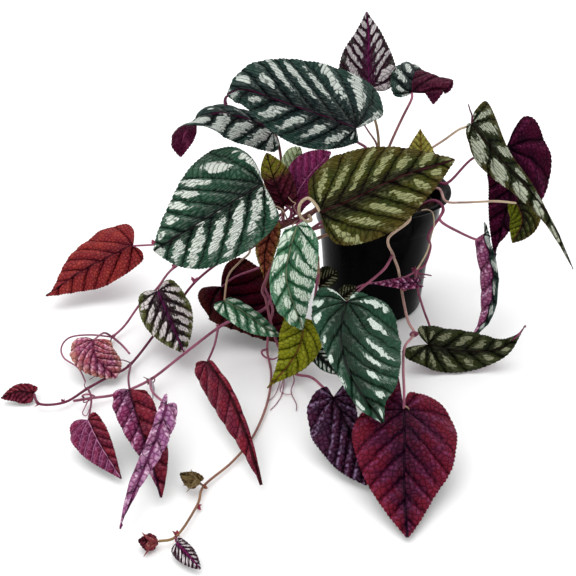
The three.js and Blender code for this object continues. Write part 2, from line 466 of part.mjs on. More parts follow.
// A round stem through its points, made wider by spare when it cuts room for itself.
function stemGeometry(radius, points, spare) {
  const sides = STEM_SIDES;
  const r = (radius + spare) / Math.cos(Math.PI / sides);
  const section = new THREE.Shape();
  for (let i = 0; i < sides; i += 1) {
    const a = (i / sides) * 2 * Math.PI;
    if (i === 0) section.moveTo(r, 0);
    else section.lineTo(r * Math.cos(a), r * Math.sin(a));
  }
  section.closePath();
  const path = new THREE.CatmullRomCurve3(points.map(vec), false, "catmullrom", 0.5);
  const steps = (points.length - 1) * SPAN_STEPS;
  return new THREE.ExtrudeGeometry(section, { steps, extrudePath: path, bevelEnabled: false });
}

const stemSolids = (stems, spare) => stems.map(([r, p]) => solidOf(stemGeometry(r, p, spare)));

function potSolid() {
  const p = POT;
  const outer = [
    [0, 0],
    [p.bodyBottom - p.corner, 0],
    [p.bodyBottom - p.corner * 0.3, p.corner * 0.3],
    [p.bodyBottom, p.corner],
    [p.bodyTop, p.height - p.lipThick - p.bandHeight],
    [p.bandBottom, p.height - p.lipThick - p.bandHeight + 1],
    [p.bandTop, p.height - p.lipThick],
    [p.lipRadius - 0.8, p.height - p.lipThick],
    [p.lipRadius, p.height - p.lipThick / 2],
    [p.lipRadius - 0.8, p.height],
    [p.lipRadius - p.lipWidth, p.height],
    [p.bandTop - p.wall, p.height - p.lipThick - 1],
    [p.bandBottom - p.wall, p.height - p.lipThick - p.bandHeight + 2],
    [p.bodyTop - p.wall, p.height - p.lipThick - p.bandHeight - 1],
    [p.bodyBottom - p.wall, p.floor + p.corner],
    [p.bodyBottom - p.wall - 2, p.floor],
    [0, p.floor],
  ].map(([x, y]) => new THREE.Vector2(x, y));
  const shell = new THREE.LatheGeometry(outer, p.segments).rotateX(Math.PI / 2);
  let pot = solidOf(shell);
  for (let i = 0; i < p.drains; i += 1) {
    const a = ((i + 0.5) / p.drains) * 2 * Math.PI;
    const hole = new THREE.CylinderGeometry(p.drainRadius, p.drainRadius, 3 * p.floor, 10);
    hole.rotateX(Math.PI / 2);
    hole.translate(p.drainRing * Math.cos(a), p.drainRing * Math.sin(a), p.floor / 2);
    pot = pot.subtract(solidOf(hole));
  }
  return pot;
}

// The inner radius of the pot at a height, less the gap.
function soilRadius(z) {
  const p = POT;
  const ledge = p.height - p.lipThick - p.bandHeight;
  const low = [p.floor + p.corner, p.bodyBottom];
  const high = [ledge - 1, p.bodyTop];
  const t = (z - low[0]) / (high[0] - low[0]);
  return mix(low[1], high[1], t) - p.wall - SOIL.gap;
}

function soilSolid() {
  const ledge = POT.height - POT.lipThick - POT.bandHeight - 1;
  const bottom = POT.floor + SOIL.gap;
  const profile = [
    [0, bottom],
    [POT.bodyBottom - POT.wall - 3, bottom],
    [soilRadius(POT.floor + POT.corner) - 0.3, POT.floor + POT.corner],
    [soilRadius(ledge) - 0.1, ledge],
    [soilRadius(ledge) + 1.2, ledge + 4],
    [soilRadius(ledge) + 1.4, SOIL.top],
  ];
  for (let i = SOIL.rings; i >= 0; i -= 1) {
    const share = i / (SOIL.rings + 1);
    profile.push([(soilRadius(ledge) + 1.4) * share, SOIL.top + SOIL.crown * (1 - share * share)]);
  }
  const points = profile.map(([x, y]) => new THREE.Vector2(x, y));
  return solidOf(new THREE.LatheGeometry(points, SOIL.segments).rotateX(Math.PI / 2));
}

const plant = new THREE.Group();
plant.name = "potted_vine";

function place(name, solid, colour, roughness) {
  const material = new THREE.MeshStandardMaterial({
    color: COLOURS[colour],
    roughness,
    metalness: 0,
    side: THREE.DoubleSide,
  });
  const mesh = new THREE.Mesh(geometryOf(solid), material);
  mesh.name = name;
  plant.add(mesh);
}

place("pot", potSolid(), "pot", 0.3);

const room = Object.values(VINES).map((stems) => joinAll(stemSolids(stems, GAP)));
const bed = room.reduce((soil, stem) => soil.subtract(stem), soilSolid());
place("soil", cleaned(bed), "soil", 0.95);

for (const [name, stems] of Object.entries(VINES)) {
  place(name, cleaned(joinAll(stemSolids(stems, 0))), "stem", 0.5);
}

// Each blade is cut back from the stalk that carries it, which leaves the seat between them.
const allRoom = joinAll(room);
for (const [name, leaf] of Object.entries(LEAVES)) {
  const big = leaf.wide[0] + leaf.wide[1] > 55;
  const blade = solidOf(bladeGeometry(leaf, big ? 8 : 6, big ? 6 : 4, BLADE));
  place(name, cleaned(blade.subtract(allRoom)), leaf.kind, 0.4);
}

export default plant;
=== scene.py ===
# %% [markdown]
# # A trailing vine in a nursery pot
#
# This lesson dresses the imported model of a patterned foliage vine. The model is loaded first as
# a fixed frame, so that every piece that is added here lands where the real part has it.

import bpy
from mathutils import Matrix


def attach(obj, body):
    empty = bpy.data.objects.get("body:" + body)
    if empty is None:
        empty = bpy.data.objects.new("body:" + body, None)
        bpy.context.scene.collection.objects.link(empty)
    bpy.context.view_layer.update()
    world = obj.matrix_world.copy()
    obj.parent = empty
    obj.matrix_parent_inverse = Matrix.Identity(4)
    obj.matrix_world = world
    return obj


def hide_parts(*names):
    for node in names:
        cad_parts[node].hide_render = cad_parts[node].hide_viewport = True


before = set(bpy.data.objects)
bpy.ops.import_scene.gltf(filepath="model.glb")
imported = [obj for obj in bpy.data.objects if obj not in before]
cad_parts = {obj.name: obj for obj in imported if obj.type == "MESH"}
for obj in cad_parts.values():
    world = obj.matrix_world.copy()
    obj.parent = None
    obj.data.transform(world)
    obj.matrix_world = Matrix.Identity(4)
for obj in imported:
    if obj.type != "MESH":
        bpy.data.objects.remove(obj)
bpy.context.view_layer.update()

# %% The other modules
import math

import bpy
import numpy as np
from mathutils import Vector, noise

MM = 0.001

# %% [markdown]
# ## View, light and floor
#
# The plant was looked at from in front and from well above. One camera repeats that angle. A
# very large soft lamp overhead and a pale world light the leaves with hardly any shadow, as a
# studio table does, and the floor is wide enough to fill the whole view.

# %% Camera
CAMERA_PLACE = (-0.081, -0.747, 0.437)
CAMERA_TILT = math.radians(60.4)
CAMERA_LENS = 56.25
CAMERA_SENSOR = 36
bpy.ops.object.camera_add(location=CAMERA_PLACE, rotation=(CAMERA_TILT, 0, 0))
camera = bpy.context.object
camera.name = "camera"
camera.data.sensor_width = CAMERA_SENSOR
camera.data.lens = CAMERA_LENS
camera.data.clip_start = 0.01
bpy.context.scene.camera = camera
print("camera at", tuple(camera.location))

# %% World and lamps
WORLD_LIGHT = 0.76
LAMP_AIM = Vector((-0.05, -0.08, 0.08))
# The name, place and side of each lamp in metres, and its power in watts.
LAMPS = [
    ("overhead", (-0.5, 0.7, 2.4), 3.4, 54.0),
    ("front", (-0.9, -1.5, 0.9), 0.9, 5.0),
    ("back_right", (1.2, 0.8, 0.9), 0.7, 3.0),
]
world = bpy.data.worlds.new("studio")
world.use_nodes = True
sky = world.node_tree.nodes["Background"].inputs
sky["Color"].default_value = (1, 1, 1, 1)
sky["Strength"].default_value = WORLD_LIGHT
bpy.context.scene.world = world
bpy.context.scene.view_settings.view_transform = "Standard"
for name, place, size, power in LAMPS:
    aim = (LAMP_AIM - Vector(place)).to_track_quat("-Z", "Y")
    bpy.ops.object.light_add(type="AREA", location=place, rotation=aim.to_euler())
    lamp = bpy.context.object
    lamp.name = "lamp_" + name
    lamp.data.shape = "SQUARE"
    lamp.data.size = size
    lamp.data.energy = power
    print("lamp", name, power, "W")

# %% [markdown]
# ## Writing materials as sums
#
# A finish is a graph of nodes, and the graph is easiest to read as arithmetic. A `Line` is one
# output of a node, and adding or multiplying two of them adds the Math node that does it. Any
# other node comes from `node`, which sets the node's own options before its sockets.

# %% One output of a node
class Line:
    def __init__(self, tree, socket=None):
        self.tree = tree
        self.socket = socket

    def node(self, kind, values=None, out=0, **options):
        made = self.tree.nodes.new("ShaderNode" + kind)
        for option, value in options.items():
            setattr(made, option, value)
        for key, value in (values or {}).items():
            if isinstance(value, Line):
                self.tree.links.new(value.socket, made.inputs[key])
            else:
                made.inputs[key].default_value = value
        return Line(self.tree, made.outputs[out])

    def math(self, operation, *others):
        return self.node("Math", dict(enumerate((self, *others))), operation=operation)

    def __add__(self, other):
        return self.math("ADD", other)

    def __mul__(self, other):
        return self.math("MULTIPLY", other)

    def __sub__(self, other):
        return self.math("SUBTRACT", other)

    def __truediv__(self, other):
        return self.math("DIVIDE", other)

    def __radd__(self, other):
        return self + other

    def __rsub__(self, other):
        return self.node("Math", {0: other, 1: self}, operation="SUBTRACT")

    def __abs__(self):
        return self.math("ABSOLUTE")

    def ramp(self, low, high):
        """0 below low, 1 above high and an even curve between, as numbers or as Lines."""
        values = {0: self, 1: low, 2: high, 3: 0.0, 4: 1.0}
        return self.node("MapRange", values, interpolation_type="SMOOTHSTEP")

    def parts(self):
        return [self.node("SeparateXYZ", {0: self}, out=i) for i in range(3)]

    def spot(self):
        """The place of a point in its object's own coordinates, in metres."""
        return self.node("TexCoord", out=3)

    def stored(self, name):
        """The vector that the vertices carry under a name."""
        return self.node("Attribute", out=1, attribute_name=name)

    def noise(self, scale, detail):
        """Cloudy noise from 0 to 1 over the place that this Line gives."""
        return self.node("TexNoise", {"Vector": self, "Scale": scale, "Detail": detail})


# %% Colours and finishes
def linear(code):
    """A colour as a screen shows it, such as #2f5a4c, in Blender's linear light."""
    shares = [int(code[i : i + 2], 16) / 255 for i in (1, 3, 5)]
    bright = [((c + 0.055) / 1.055) ** 2.4 if c > 0.04045 else c / 12.92 for c in shares]
    return (*bright, 1.0)


def colour_mix(mask, below, above):
    """below where the mask is 0 and above where it is 1. Each is a colour or a Line."""
    return mask.node("Mix", {0: mask, 6: below, 7: above}, out=2, data_type="RGBA")


def new_finish(name, **constants):
    """A material, a Line to start its arithmetic from, and its main shader."""
    material = bpy.data.materials.new(name)
    material.use_nodes = True
    shader = material.node_tree.nodes["Principled BSDF"]
    for socket, value in constants.items():
        shader.inputs[socket.replace("_", " ")].default_value = value
    return material, Line(material.node_tree), shader


def feed(shader, **lines):
    """Joins Lines to the shader's sockets: Base_Color=..., Roughness=..., Normal=..."""
    for socket, line in lines.items():
        line.tree.links.new(line.socket, shader.inputs[socket.replace("_", " ")])


def bump(height, strength, depth):
    """A surface normal from a height. depth is in metres at height 1."""
    return height.node("Bump", {"Strength": strength, "Distance": depth, "Height": height})


# %% Floor
FLOOR_SIDE = 14
floor_finish, here, shader = new_finish("pale_floor", Roughness=0.9, Specular_IOR_Level=0.0)
grain = here.node("TexNoise", {"Scale": 3.0, "Detail": 2.0})
feed(shader, Base_Color=colour_mix(grain, linear("#fafafa"), linear("#fcfcfc")))
bpy.ops.mesh.primitive_plane_add(size=FLOOR_SIDE, location=(0, 3, -0.0002))
floor = bpy.context.object
floor.name = "floor"
floor.data.materials.append(floor_finish)
print("floor", FLOOR_SIDE, "m wide")

# %% [markdown]
# ## The shape of a leaf
#
# Every leaf of this vine is a heart that is drawn out to a tip. It hangs from a curved midrib,
# and its two halves differ, so each half has its own width, fold, cup and basal lobe. The same
# numbers shape the thin blades of the frame. Here they shape a much finer sheet: rows run from
# the midrib to the margin like side veins, so the veins can simply follow the rows.

# %% Smooth curves
def curve(points, share):
    """A smooth line through evenly counted points, read at shares from 0 to 1."""
    points = np.asarray(points, float)
    last = len(points) - 1
    at = np.clip(np.asarray(share, float), 0, 1) * last
    i = np.minimum(at.astype(int), last - 1)
    f = (at - i)[..., None]
    before = 2 * points[0] - points[1]
    after = 2 * points[-1] - points[-2]
    p = np.vstack([before, points, after])
    a, b, c, d = p[i], p[i + 1], p[i + 2], p[i + 3]
    square = (2 * a - 5 * b + 4 * c - d) * f**2
    cube = (3 * b - a - 3 * c + d) * f**3
    return 0.5 * (2 * b + (c - a) * f + square + cube)


def unit(v):
    """The same directions with length 1."""
    return v / np.maximum(np.linalg.norm(v, axis=-1, keepdims=True), 1e-12)


def fine_line(points):
    """80 points of a smooth line, how far each has run, and their directions."""
    fine = curve(points, np.linspace(0, 1, 80))
    run = np.r_[0, np.cumsum(np.linalg.norm(np.diff(fine, axis=0), axis=1))]
    return fine, run, unit(np.gradient(fine, axis=0))


def read(want, run, values):
    """Three-part values along a line, read wherever want says."""
    return np.stack([np.interp(want, run, values[:, k]) for k in range(3)], -1)


def along_line(points, count):
    """Evenly spaced points of a smooth line, how far each has run, and their directions."""
    fine, run, way = fine_line(points)
    want = np.linspace(0, run[-1], count)
    return read(want, run, fine), want, unit(read(want, run, way))


# %% The margin, row by row
# A margin has eleven places between stalk and tip. For each, these lists say which s it has, how
# far the lobe and the belly draw it along the midrib, and how wide a full or drawn-out half is.
ROW = np.array([0, 0.07, 0.15, 0.24, 0.34, 0.46, 0.59, 0.72, 0.84, 0.93, 1])
LOBE_SHARE = np.array([0.1, 0.62, 1, 0.78, 0.12, 0, 0, 0, 0, 0, 0])
BELLY_SHARE = np.array([0, 0.02, 0.06, 0.14, 0.5, 1, 1, 1, 1, 1, 1])
BEYOND_SHARE = np.array([0, 0, 0, 0, 0, 0, 0.3, 0.57, 0.8, 0.92, 1])
HALF_FULL = np.array([0.02, 0.24, 0.52, 0.8, 0.96, 1, 0.91, 0.73, 0.46, 0.22, 0.012])
HALF_DRAWN = np.array([0.02, 0.24, 0.52, 0.8, 0.96, 1, 0.8, 0.45, 0.15, 0.04, 0.012])


def margin(leaf, half, s):
    """How far along and how far out the margin of one half lies, in midribs and half widths."""
    if "reach" in leaf:
        reach, full = leaf["reach"][half], leaf["full"][half]
    else:
        lobe, belly, taper = leaf["lobe"][half], leaf["belly"][half], leaf["taper"][half]
        reach = BEYOND_SHARE * (1 - belly) + BELLY_SHARE * belly - LOBE_SHARE * lobe
        full = HALF_FULL * (1 - taper) + HALF_DRAWN * taper
    at = np.interp(s, ROW, np.linspace(0, 1, len(ROW)))
    return curve(np.stack([reach, full], 1), at)


# %% The blade's points
# Rows up to this s leave the midrib within its first 2 percent, and the others fan out beyond.
CROWDED_ROWS, CROWDED_SHARE, FAN_POWER = 0.3, 0.02, 1.3
BOW = 1.2
# Where along the midrib a leaf starts to turn from its first face to its last, and over how much.
TURN_FROM, TURN_OVER = 0.45, 0.5


def blade(leaf, u, s):
    """Points of a blade in mm. u runs from -1 to 1 across it and s from the stalk to the tip."""
    rib, run, way = fine_line(leaf["rib"])
    over, under = margin(leaf, 0, s)[:, None, :], margin(leaf, 1, s)[:, None, :]
    left = (u < 0)[None, :]
    edge = np.where(left[..., None], under, over)
    beyond = np.clip((s - CROWDED_ROWS) / (1 - CROWDED_ROWS), 0, 1) ** FAN_POWER
    start = CROWDED_SHARE * np.minimum(s, CROWDED_ROWS) / CROWDED_ROWS
    start = start + (1 - CROWDED_SHARE) * beyond
    across = np.abs(u)[None, :]
    share = start[:, None] + (edge[..., 0] - start[:, None]) * across**BOW

    def pick(name, factor=1.0):
        return np.where(left, leaf[name][1], leaf[name][0]) * factor

    out = edge[..., 1] * across * pick("wide")
    place = read(share, run / run[-1], rib)
    aim = unit(read(share, run / run[-1], way))
    place = place + np.minimum(share, 0)[..., None] * run[-1] * way[0]
    k = np.clip((share - TURN_FROM) / TURN_OVER, 0, 1)
    k = (k * k * (3 - 2 * k))[..., None]
    first, last = unit(np.array(leaf["face"], float)), leaf.get("turn", leaf["face"])
    look = first + (unit(np.array(last, float)) - first) * k
    normal = unit(look - (look * aim).sum(-1, keepdims=True) * aim)
    side = np.cross(normal, aim)
    fold = pick("fold", math.pi / 180)
    rise = out * np.sin(fold) - pick("cup") * out * out / pick("wide")
    flat = np.sign(u)[None, :] * out * np.cos(fold)
    return place + side * flat[..., None] + normal * rise[..., None], share * run[-1], out


# %% The leaves
USUAL_BLADE = dict(fold=[-8, -8], cup=[0.1, 0.1])
NONE = (0, 0)
LEAVES = {}


def grow(number, kind, face, wide, rib, lobe=NONE, belly=NONE, taper=NONE, **more):
    """Adds a leaf. rib is its midrib from stalk to tip in mm, and face the way its front looks.

    turn is the way that the front looks at the tip, where that differs. All the rest has one
    value for each half, and the half on the left of someone walking to the tip comes first.
    wide is in mm and fold in degrees. The margin's shape is in hundredths: lobe, belly and
    taper, or else a leaf's own reach and full at each of the eleven places.
    """
    leaf = dict(kind=kind, face=face, wide=wide, rib=rib, **{**USUAL_BLADE, **more})
    leaf.update(lobe=lobe, belly=belly, taper=taper)
    for name in ("lobe", "belly", "taper", "reach", "full"):
        if name in leaf:
            leaf[name] = np.array(leaf[name]) / 100
    LEAVES[f"leaf_{number:02}"] = leaf


grow(1, "silver", [-0.1, -0.8, 0.6], [25.9, 49.6], [[-26, -42, 187], [-56, -60, 204],
     [-87, -72, 219], [-114, -78, 230], [-127, -78, 226]],
     reach=[[-1, -4, 2, 14, 30, 47, 64, 78, 95, 98, 100],
     [-2, -16, -27, -22, 2, 12, 37, 64, 84, 92, 100]],
     full=[[4, 36, 54, 80, 100, 104, 88, 59, 36, 17, 1],
     [1, 22, 45, 89, 100, 99, 89, 73, 48, 23, 1]])
grow(2, "young", [0, -1, 0.1], [26, 24], [[-9, 32, 198], [-12, 25, 225], [-13, 20, 247],
     [-16, 15, 268]], [12, 9], [20, 19], [68, 71])
grow(3, "silver", [0.1, -0.5, 0.85], [19, 34], [[26, 12, 200], [27, 18, 207], [32, 32, 212],
     [40, 44, 207], [49, 52, 190], [52, 52, 176]], [8, 2], [25, 42], [50, 60],
     turn=[0.1, 0.7, 0.6], fold=[-10, 15])
grow(4, "silver", [0, -0.6, 0.8], [22, 12], [[-94, -8, 172], [-113, -20, 185], [-135, -31, 195],
     [-153, -41, 194], [-164, -45, 184], [-170, -45, 163]], [8, 0], [30, 40], [-50, -50],
     turn=[-0.6, 0.8, 0.1], fold=[-8, -12])
grow(5, "silver", [-0.15, -0.8, 0.6], [37, 52], [[-101, -78, 153], [-127, -98, 144],
     [-153, -114, 133], [-185, -124, 116]], [0, 9], [45, 14], [-31, 29])
grow(6, "olive", [0, -0.8, 0.6], [40, 35], [[-55, -90, 133], [-29, -100, 150], [6, -100, 168],
     [48, -90, 178]], [7, 3], [23, 42], [48, 47])
grow(7, "lime", [0, -1, 0.2], [11, 11], [[31, -40, 154], [29, -42, 168], [27, -44, 187]], [12, 12],
     [30, 24], [67, 80])
grow(8, "olive", [-0.5, -0.75, 0.45], [12.5, 15.7], [[79, 6, 174], [90, -6, 163], [104, -17, 149],
     [128, -30, 127], [149, -38, 100], [172, -44, 58]], fold=[6, 0],
     reach=[[-1, -1, -3, -4, -4, 6, 24, 47, 62, 86, 100],
     [-1, -1, 2, 8, 14, 23, 41, 64, 85, 94, 100]],
     full=[[6, 24, 52, 88, 169, 151, 81, 36, 9, 5, 1],
     [6, 21, 52, 80, 102, 109, 82, 46, 17, 6, 1]])
grow(9, "burgundy", [0.1, -0.95, 0.3], [42, 21], [[120, 36, 140], [126, 26, 111], [120, 16, 75],
     [115, 10, 41]], [25, 12], [21, 25], [129, 51])
grow(10, "lime", [-0.2, -0.9, 0.4], [18, 10], [[121, -20, 110], [126, -26, 95], [119, -30, 76]],
     [40, 9], [12, 54], [17, 48])
grow(11, "mauve", [-0.6, -0.75, 0.2], [5, 12], [[89, -48, 94], [98, -60, 60], [95, -72, 26],
     [70, -104, 12]], [11, 0], [44, 32], [49, 106], fold=[10, 10])
grow(12, "olive", [0, -0.6, 0.8], [21, 19], [[37, -113, 22], [64, -112, 14], [98, -113, 18],
     [117, -111, 40]], [13, 24], [36, 12], [140, 87])
grow(13, "silver", [0, -0.95, 0.3], [23.8, 12.8], [[-74, -103, 128], [-79, -112, 113],
     [-82, -120, 88], [-69, -123, 44]], reach=[[-1, -5, -1, 7, 23, 45, 62, 76, 89, 96, 100],
     [0, 2, 4, 8, 33, 54, 75, 82, 92, 97, 100]], full=[[3, 19, 51, 83, 97, 101, 84, 52, 23, 8, 1],
     [9, 23, 48, 64, 82, 113, 111, 90, 62, 31, 1]])
grow(14, "silver", [-0.1, -0.72, 0.7], [45.6, 21.9], [[-35, -140, 79], [-41, -172, 69],
     [-35, -215, 60], [-15, -251, 47]], fold=[-12, -12],
     reach=[[-1, -10, -10, -6, 9, 20, 44, 69, 83, 90, 100],
     [-1, -3, -10, -15, -9, 12, 27, 58, 82, 93, 100]],
     full=[[1, 12, 47, 74, 98, 102, 92, 77, 54, 21, 1],
     [3, 15, 50, 95, 124, 112, 73, 38, 33, 15, 1]])
grow(15, "burgundy", [0, -0.7, 0.75], [38.6, 34], [[2, -229, 42], [0, -254, 35], [-2, -281, 18],
     [-3, -315, 3]], reach=[[-2, -16, -17, -10, 5, 22, 46, 66, 85, 94, 100],
     [-4, -35, -14, -4, 9, 28, 51, 70, 87, 95, 100]],
     full=[[0, 10, 47, 78, 97, 98, 86, 55, 27, 12, 1],
     [1, 14, 37, 74, 99, 103, 83, 55, 26, 10, 1]])
grow(16, "mauve", [0, -0.6, 0.8], [12.8, 25.4], [[-47, -204, 34], [-37, -229, 24], [-26, -266, 4]],
     reach=[[-1, -4, -8, -12, -11, 6, 28, 57, 85, 95, 100],
     [-2, -15, -12, -3, 17, 34, 55, 74, 87, 94, 100]],
     full=[[5, 26, 56, 90, 137, 116, 76, 40, 14, 5, 1],
     [0, 7, 47, 78, 98, 103, 88, 65, 37, 17, 1]])
grow(17, "terracotta", [0, -0.5, 0.85], [23, 37], [[-230, 23, 46], [-251, 15, 38], [-279, 5, 26],
     [-307, -19, 14]], [8, 10], [43, 29], [55, 105])
grow(18, "young", [0, -0.7, 0.7], [21, 22], [[-196, -57, 42], [-185, -81, 32], [-168, -119, 18]],
     [13, 10], [35, 31], [32, 38])
grow(19, "mauve", [0, -0.5, 0.9], [16, 20], [[-245, -109, 24], [-239, -130, 20], [-223, -139, 6]],
     [0, 18], [62, 17], [-50, 48])
grow(20, "burgundy", [0, -0.5, 0.9], [9, 8], [[-285, -161, 7], [-298, -162, 9], [-310, -166, 6]],
     [3, 11], [35, 37], [33, 58])
grow(21, "mauve", [0, -0.6, 0.8], [9, 17], [[-229, -215, 22], [-218, -234, 16], [-199, -259, 4]],
     [9, 11], [27, 16], [64, 63])
grow(22, "mauve", [0, -0.6, 0.8], [15, 15], [[-201, -192, 32], [-189, -226, 26], [-177, -255, 16],
     [-168, -280, 5]], [0, 7], [49, 12], [49, 93])
grow(23, "mauve", [0.3, -0.7, 0.6], [10, 5], [[-168, -228, 46], [-173, -258, 38], [-182, -283, 24],
     [-192, -310, 6]], [5, 12], [12, 62], [134, 50])
grow(24, "burgundy", [-0.3, -0.7, 0.6], [3.5, 19], [[-145, -153, 32], [-127, -188, 29],
     [-111, -228, 18], [-99, -267, 5]], [2, 10], [30, 20], [40, 75], fold=[-30, -14],
     cup=[0.1, 0.12])
grow(25, "lime", [0, -0.5, 0.85], [6, 5], [[-143, -267, 8], [-149, -264, 9], [-157, -258, 8]],
     [0, 12], [33, 37], [35, 52])
grow(26, "burgundy", [0, -0.5, 0.85], [6, 5], [[-167, -320, 5], [-171, -322, 8], [-178, -321, 7]],
     [9, 11], [50, 40], [37, 22])
grow(27, "burgundy", [0, -0.5, 0.85], [5, 7], [[-153, -323, 7], [-146, -332, 8], [-136, -343, 5]],
     [11, 3], [43, 38], [31, 28])
grow(28, "lime", [0, -0.9, 0.4], [17, 18], [[-68, -103, 42], [-70, -124, 34], [-79, -136, 20],
     [-98, -150, 4]], [0, 12], [32, 31], [100, 98])
grow(29, "burgundy", [-0.15, -0.5, 0.85], [38, 40], [[-142, -29, 30], [-127, -36, 17],
     [-106, -56, 9], [-84, -90, 7]], [14, 14], [30, 30], [40, 40], fold=[24, 30], cup=[-0.2, -0.2])
grow(30, "silver", [0, -0.5, 0.85], [8, 12], [[-134, -102, 58], [-119, -109, 52], [-103, -109, 38],
     [-87, -107, 26]], [2, 11], [62, 37], [53, 57])
grow(31, "mauve", [0, -1, 0.2], [17, 12], [[-78, -54, 123], [-67, -54, 146], [-46, -56, 172]],
     [9, 12], [54, 31], [8, 52])
grow(32, "burgundy", [0, -1, 0.2], [9, 14], [[-84, -65, 129], [-92, -68, 152], [-98, -74, 178]],
     [11, 9], [59, 46], [37, 36])
grow(33, "lime", [0, -1, 0.3], [10, 7], [[-81, -37, 139], [-77, -39, 154], [-71, -42, 171]],
     [12, 12], [37, 34], [-50, 5])
grow(34, "terracotta", [0, -0.95, 0.2], [9, 10], [[-95, -84, 116], [-100, -90, 95],
     [-100, -92, 65]], [13, 22], [20, 12], [71, 133])
grow(35, "olive", [0, -0.8, 0.6], [11, 7], [[-55, -74, 57], [-47, -76, 65], [-39, -78, 73]],
     [11, 10], [49, 46], [6, 25])
grow(36, "olive", [0, -0.8, 0.6], [8, 5], [[-37, -74, 41], [-30, -77, 50], [-23, -80, 59]],
     [11, 12], [49, 40], [3, 45])
grow(37, "silver", [0, -0.8, 0.5], [8, 7], [[-59, -118, 18], [-50, -128, 15], [-40, -139, 10]],
     [0, 10], [39, 42], [43, 25])
grow(38, "mauve", [0, -0.6, 0.8], [7, 5], [[30, -70, 57], [15, -76, 60], [-10, -84, 64]], [12, 12],
     [33, 34], [58, 57], fold=[25, 25], cup=[0, 0])
print(len(LEAVES), "leaves are described")

# %% [markdown]
# ## From a flat grid to a leaf
#
# A leaf starts as Blender's own grid. Its vertices are moved onto the blade. Then the sheet gets
# what makes it a real leaf: the margin is cut into small forward-pointing teeth, the blade puffs
# up between the side veins, and the whole of it is a little uneven. Solidify gives it its
# thickness, with the lower face in a second material. Where one half of a leaf is turned over or
# catches the light, that half has a finish of its own. The veins are left to the finish, which
# needs to know where it is on the leaf, so every vertex carries that in four attributes.

# %% Making a grid and filling it with points
def grid_piece(name, points):
    """A grid with one vertex for each of the points, which are rows by columns by 3, in mm."""
    rows, columns = points.shape[:2]
    bpy.ops.object.select_all(action="DESELECT")
    bpy.ops.mesh.primitive_grid_add(
        x_subdivisions=columns - 1, y_subdivisions=rows - 1, size=1, calc_uvs=True
    )
    piece = bpy.context.object
    piece.name = piece.data.name = name
    piece.data.vertices.foreach_set("co", (points * MM).astype(np.float32).ravel())
    piece.data.update()
    return piece


def give(piece, name, values):
    """Stores one vector for each vertex under a name that a finish can read."""
    made = piece.data.attributes.new(name, "FLOAT_VECTOR", "POINT")
    made.data.foreach_set("vector", values.astype(np.float32).ravel())


def apply_modifiers(piece):
    for modifier in list(piece.modifiers):
        bpy.ops.object.modifier_apply(modifier=modifier.name)


# %% Where the rows and columns go
ACROSS = [0, 0.03, 0.07, 0.12, 0.17, 0.22, 0.28, 0.34, 0.4, 0.46, 0.52, 0.58, 0.64, 0.7]
ACROSS += [0.76, 0.82, 0.87, 0.92, 0.96, 1]
ACROSS_SMALL = [0, 0.1, 0.25, 0.4, 0.55, 0.7, 0.83, 0.93, 1]
ROWS_A_TOOTH = 4
FEWEST_TEETH = 8


def even_rows(leaf, tooth):
    """Shares of s that are evenly spaced round the margin, with four to each tooth."""
    fine = np.linspace(0, 1, 500)
    edges = blade(leaf, np.array([-1.0, 1.0]), fine)[0]
    steps = np.linalg.norm(np.diff(edges, axis=0), axis=2).mean(1)
    run = np.r_[0, np.cumsum(steps)]
    teeth = max(FEWEST_TEETH, round(run[-1] / tooth))
    want = np.linspace(0, run[-1], teeth * ROWS_A_TOOTH + 1)
    return np.interp(want, run, fine)


# %% Where the side veins run
def vein_net(leaf, run, out, look):
    """Counts side veins at every point. Also the distance along them and between them, in mm."""
    length = np.linalg.norm(np.diff(np.array(leaf["rib"], float), axis=0), axis=1).sum()
    y = np.abs(out)
    x = run - look["arc"] * y * y / length
    lead = x - look["slant"] * y
    pitch = length / look["veins"]
    fan = np.arctan2(1, look["slant"]) - np.arctan2(y, x)
    stretch = math.hypot(1, look["slant"])
    count = np.where(lead > 0, lead / pitch, fan * look["fan"])
    count = count + np.where(out > 0, look["shift"], 0)
    along = np.where(lead > 0, y * stretch, np.hypot(x, y))
    apart = np.where(lead > 0, pitch / stretch, np.hypot(x, y) / look["fan"])
    return count, along, apart


# %% Relief and teeth
TOOTH_SHAPE = np.array([0.0, 0.45, 0.85, 1.0])
WARP_SIZE, CRUMPLE_SIZE, CRUMPLE_HEIGHT = 34, 6, 0.35
PUFF_POWER, PUFF_WIDTH, RIM_FLATTER = 0.7, 12, 0.4
SEED_STEP = 19
TOOTHLESS_START, TOOTHLESS_END = 0.06, 0.04


def relief(points, rows, u, veins, look, seed):
    """Moves a blade's points to puff it between the veins, roughen it and cut its teeth."""
    count, _, apart = veins
    down = np.gradient(points, rows, axis=0)
    sideways = np.gradient(points, axis=1)
    normal = unit(np.cross(sideways, down))
    across = np.abs(u)[None, :]
    rounded = np.abs(np.sin(math.pi * count)) ** PUFF_POWER
    puff = rounded * np.minimum(apart, PUFF_WIDTH) * look["puff"]
    puff = puff * (1 - RIM_FLATTER * across**6)
    flat = points.reshape(-1, 3) + seed * SEED_STEP
    slow = np.array([noise.noise(Vector(p / WARP_SIZE)) for p in flat])
    quick = np.array([noise.noise(Vector(p / CRUMPLE_SIZE)) for p in flat])
    uneven = (slow * look["warp"] + quick * CRUMPLE_HEIGHT).reshape(points.shape[:2])
    lift = puff + uneven * np.minimum(1, across * 4)
    moved = points + normal * lift[..., None]
    outward = unit(points[:, [0, -1]] - points[:, [1, -2]])
    saw = np.tile(TOOTH_SHAPE, len(rows) // ROWS_A_TOOTH + 1)[: len(rows)]
    fade = np.clip(np.minimum(rows / TOOTHLESS_START, (1 - rows) / TOOTHLESS_END), 0, 1)
    moved[:, [0, -1]] += outward * (saw * fade * look["bite"])[:, None, None]
    return moved


# %% One leaf
THICK = 0.45
SMALL_LEAF = 34


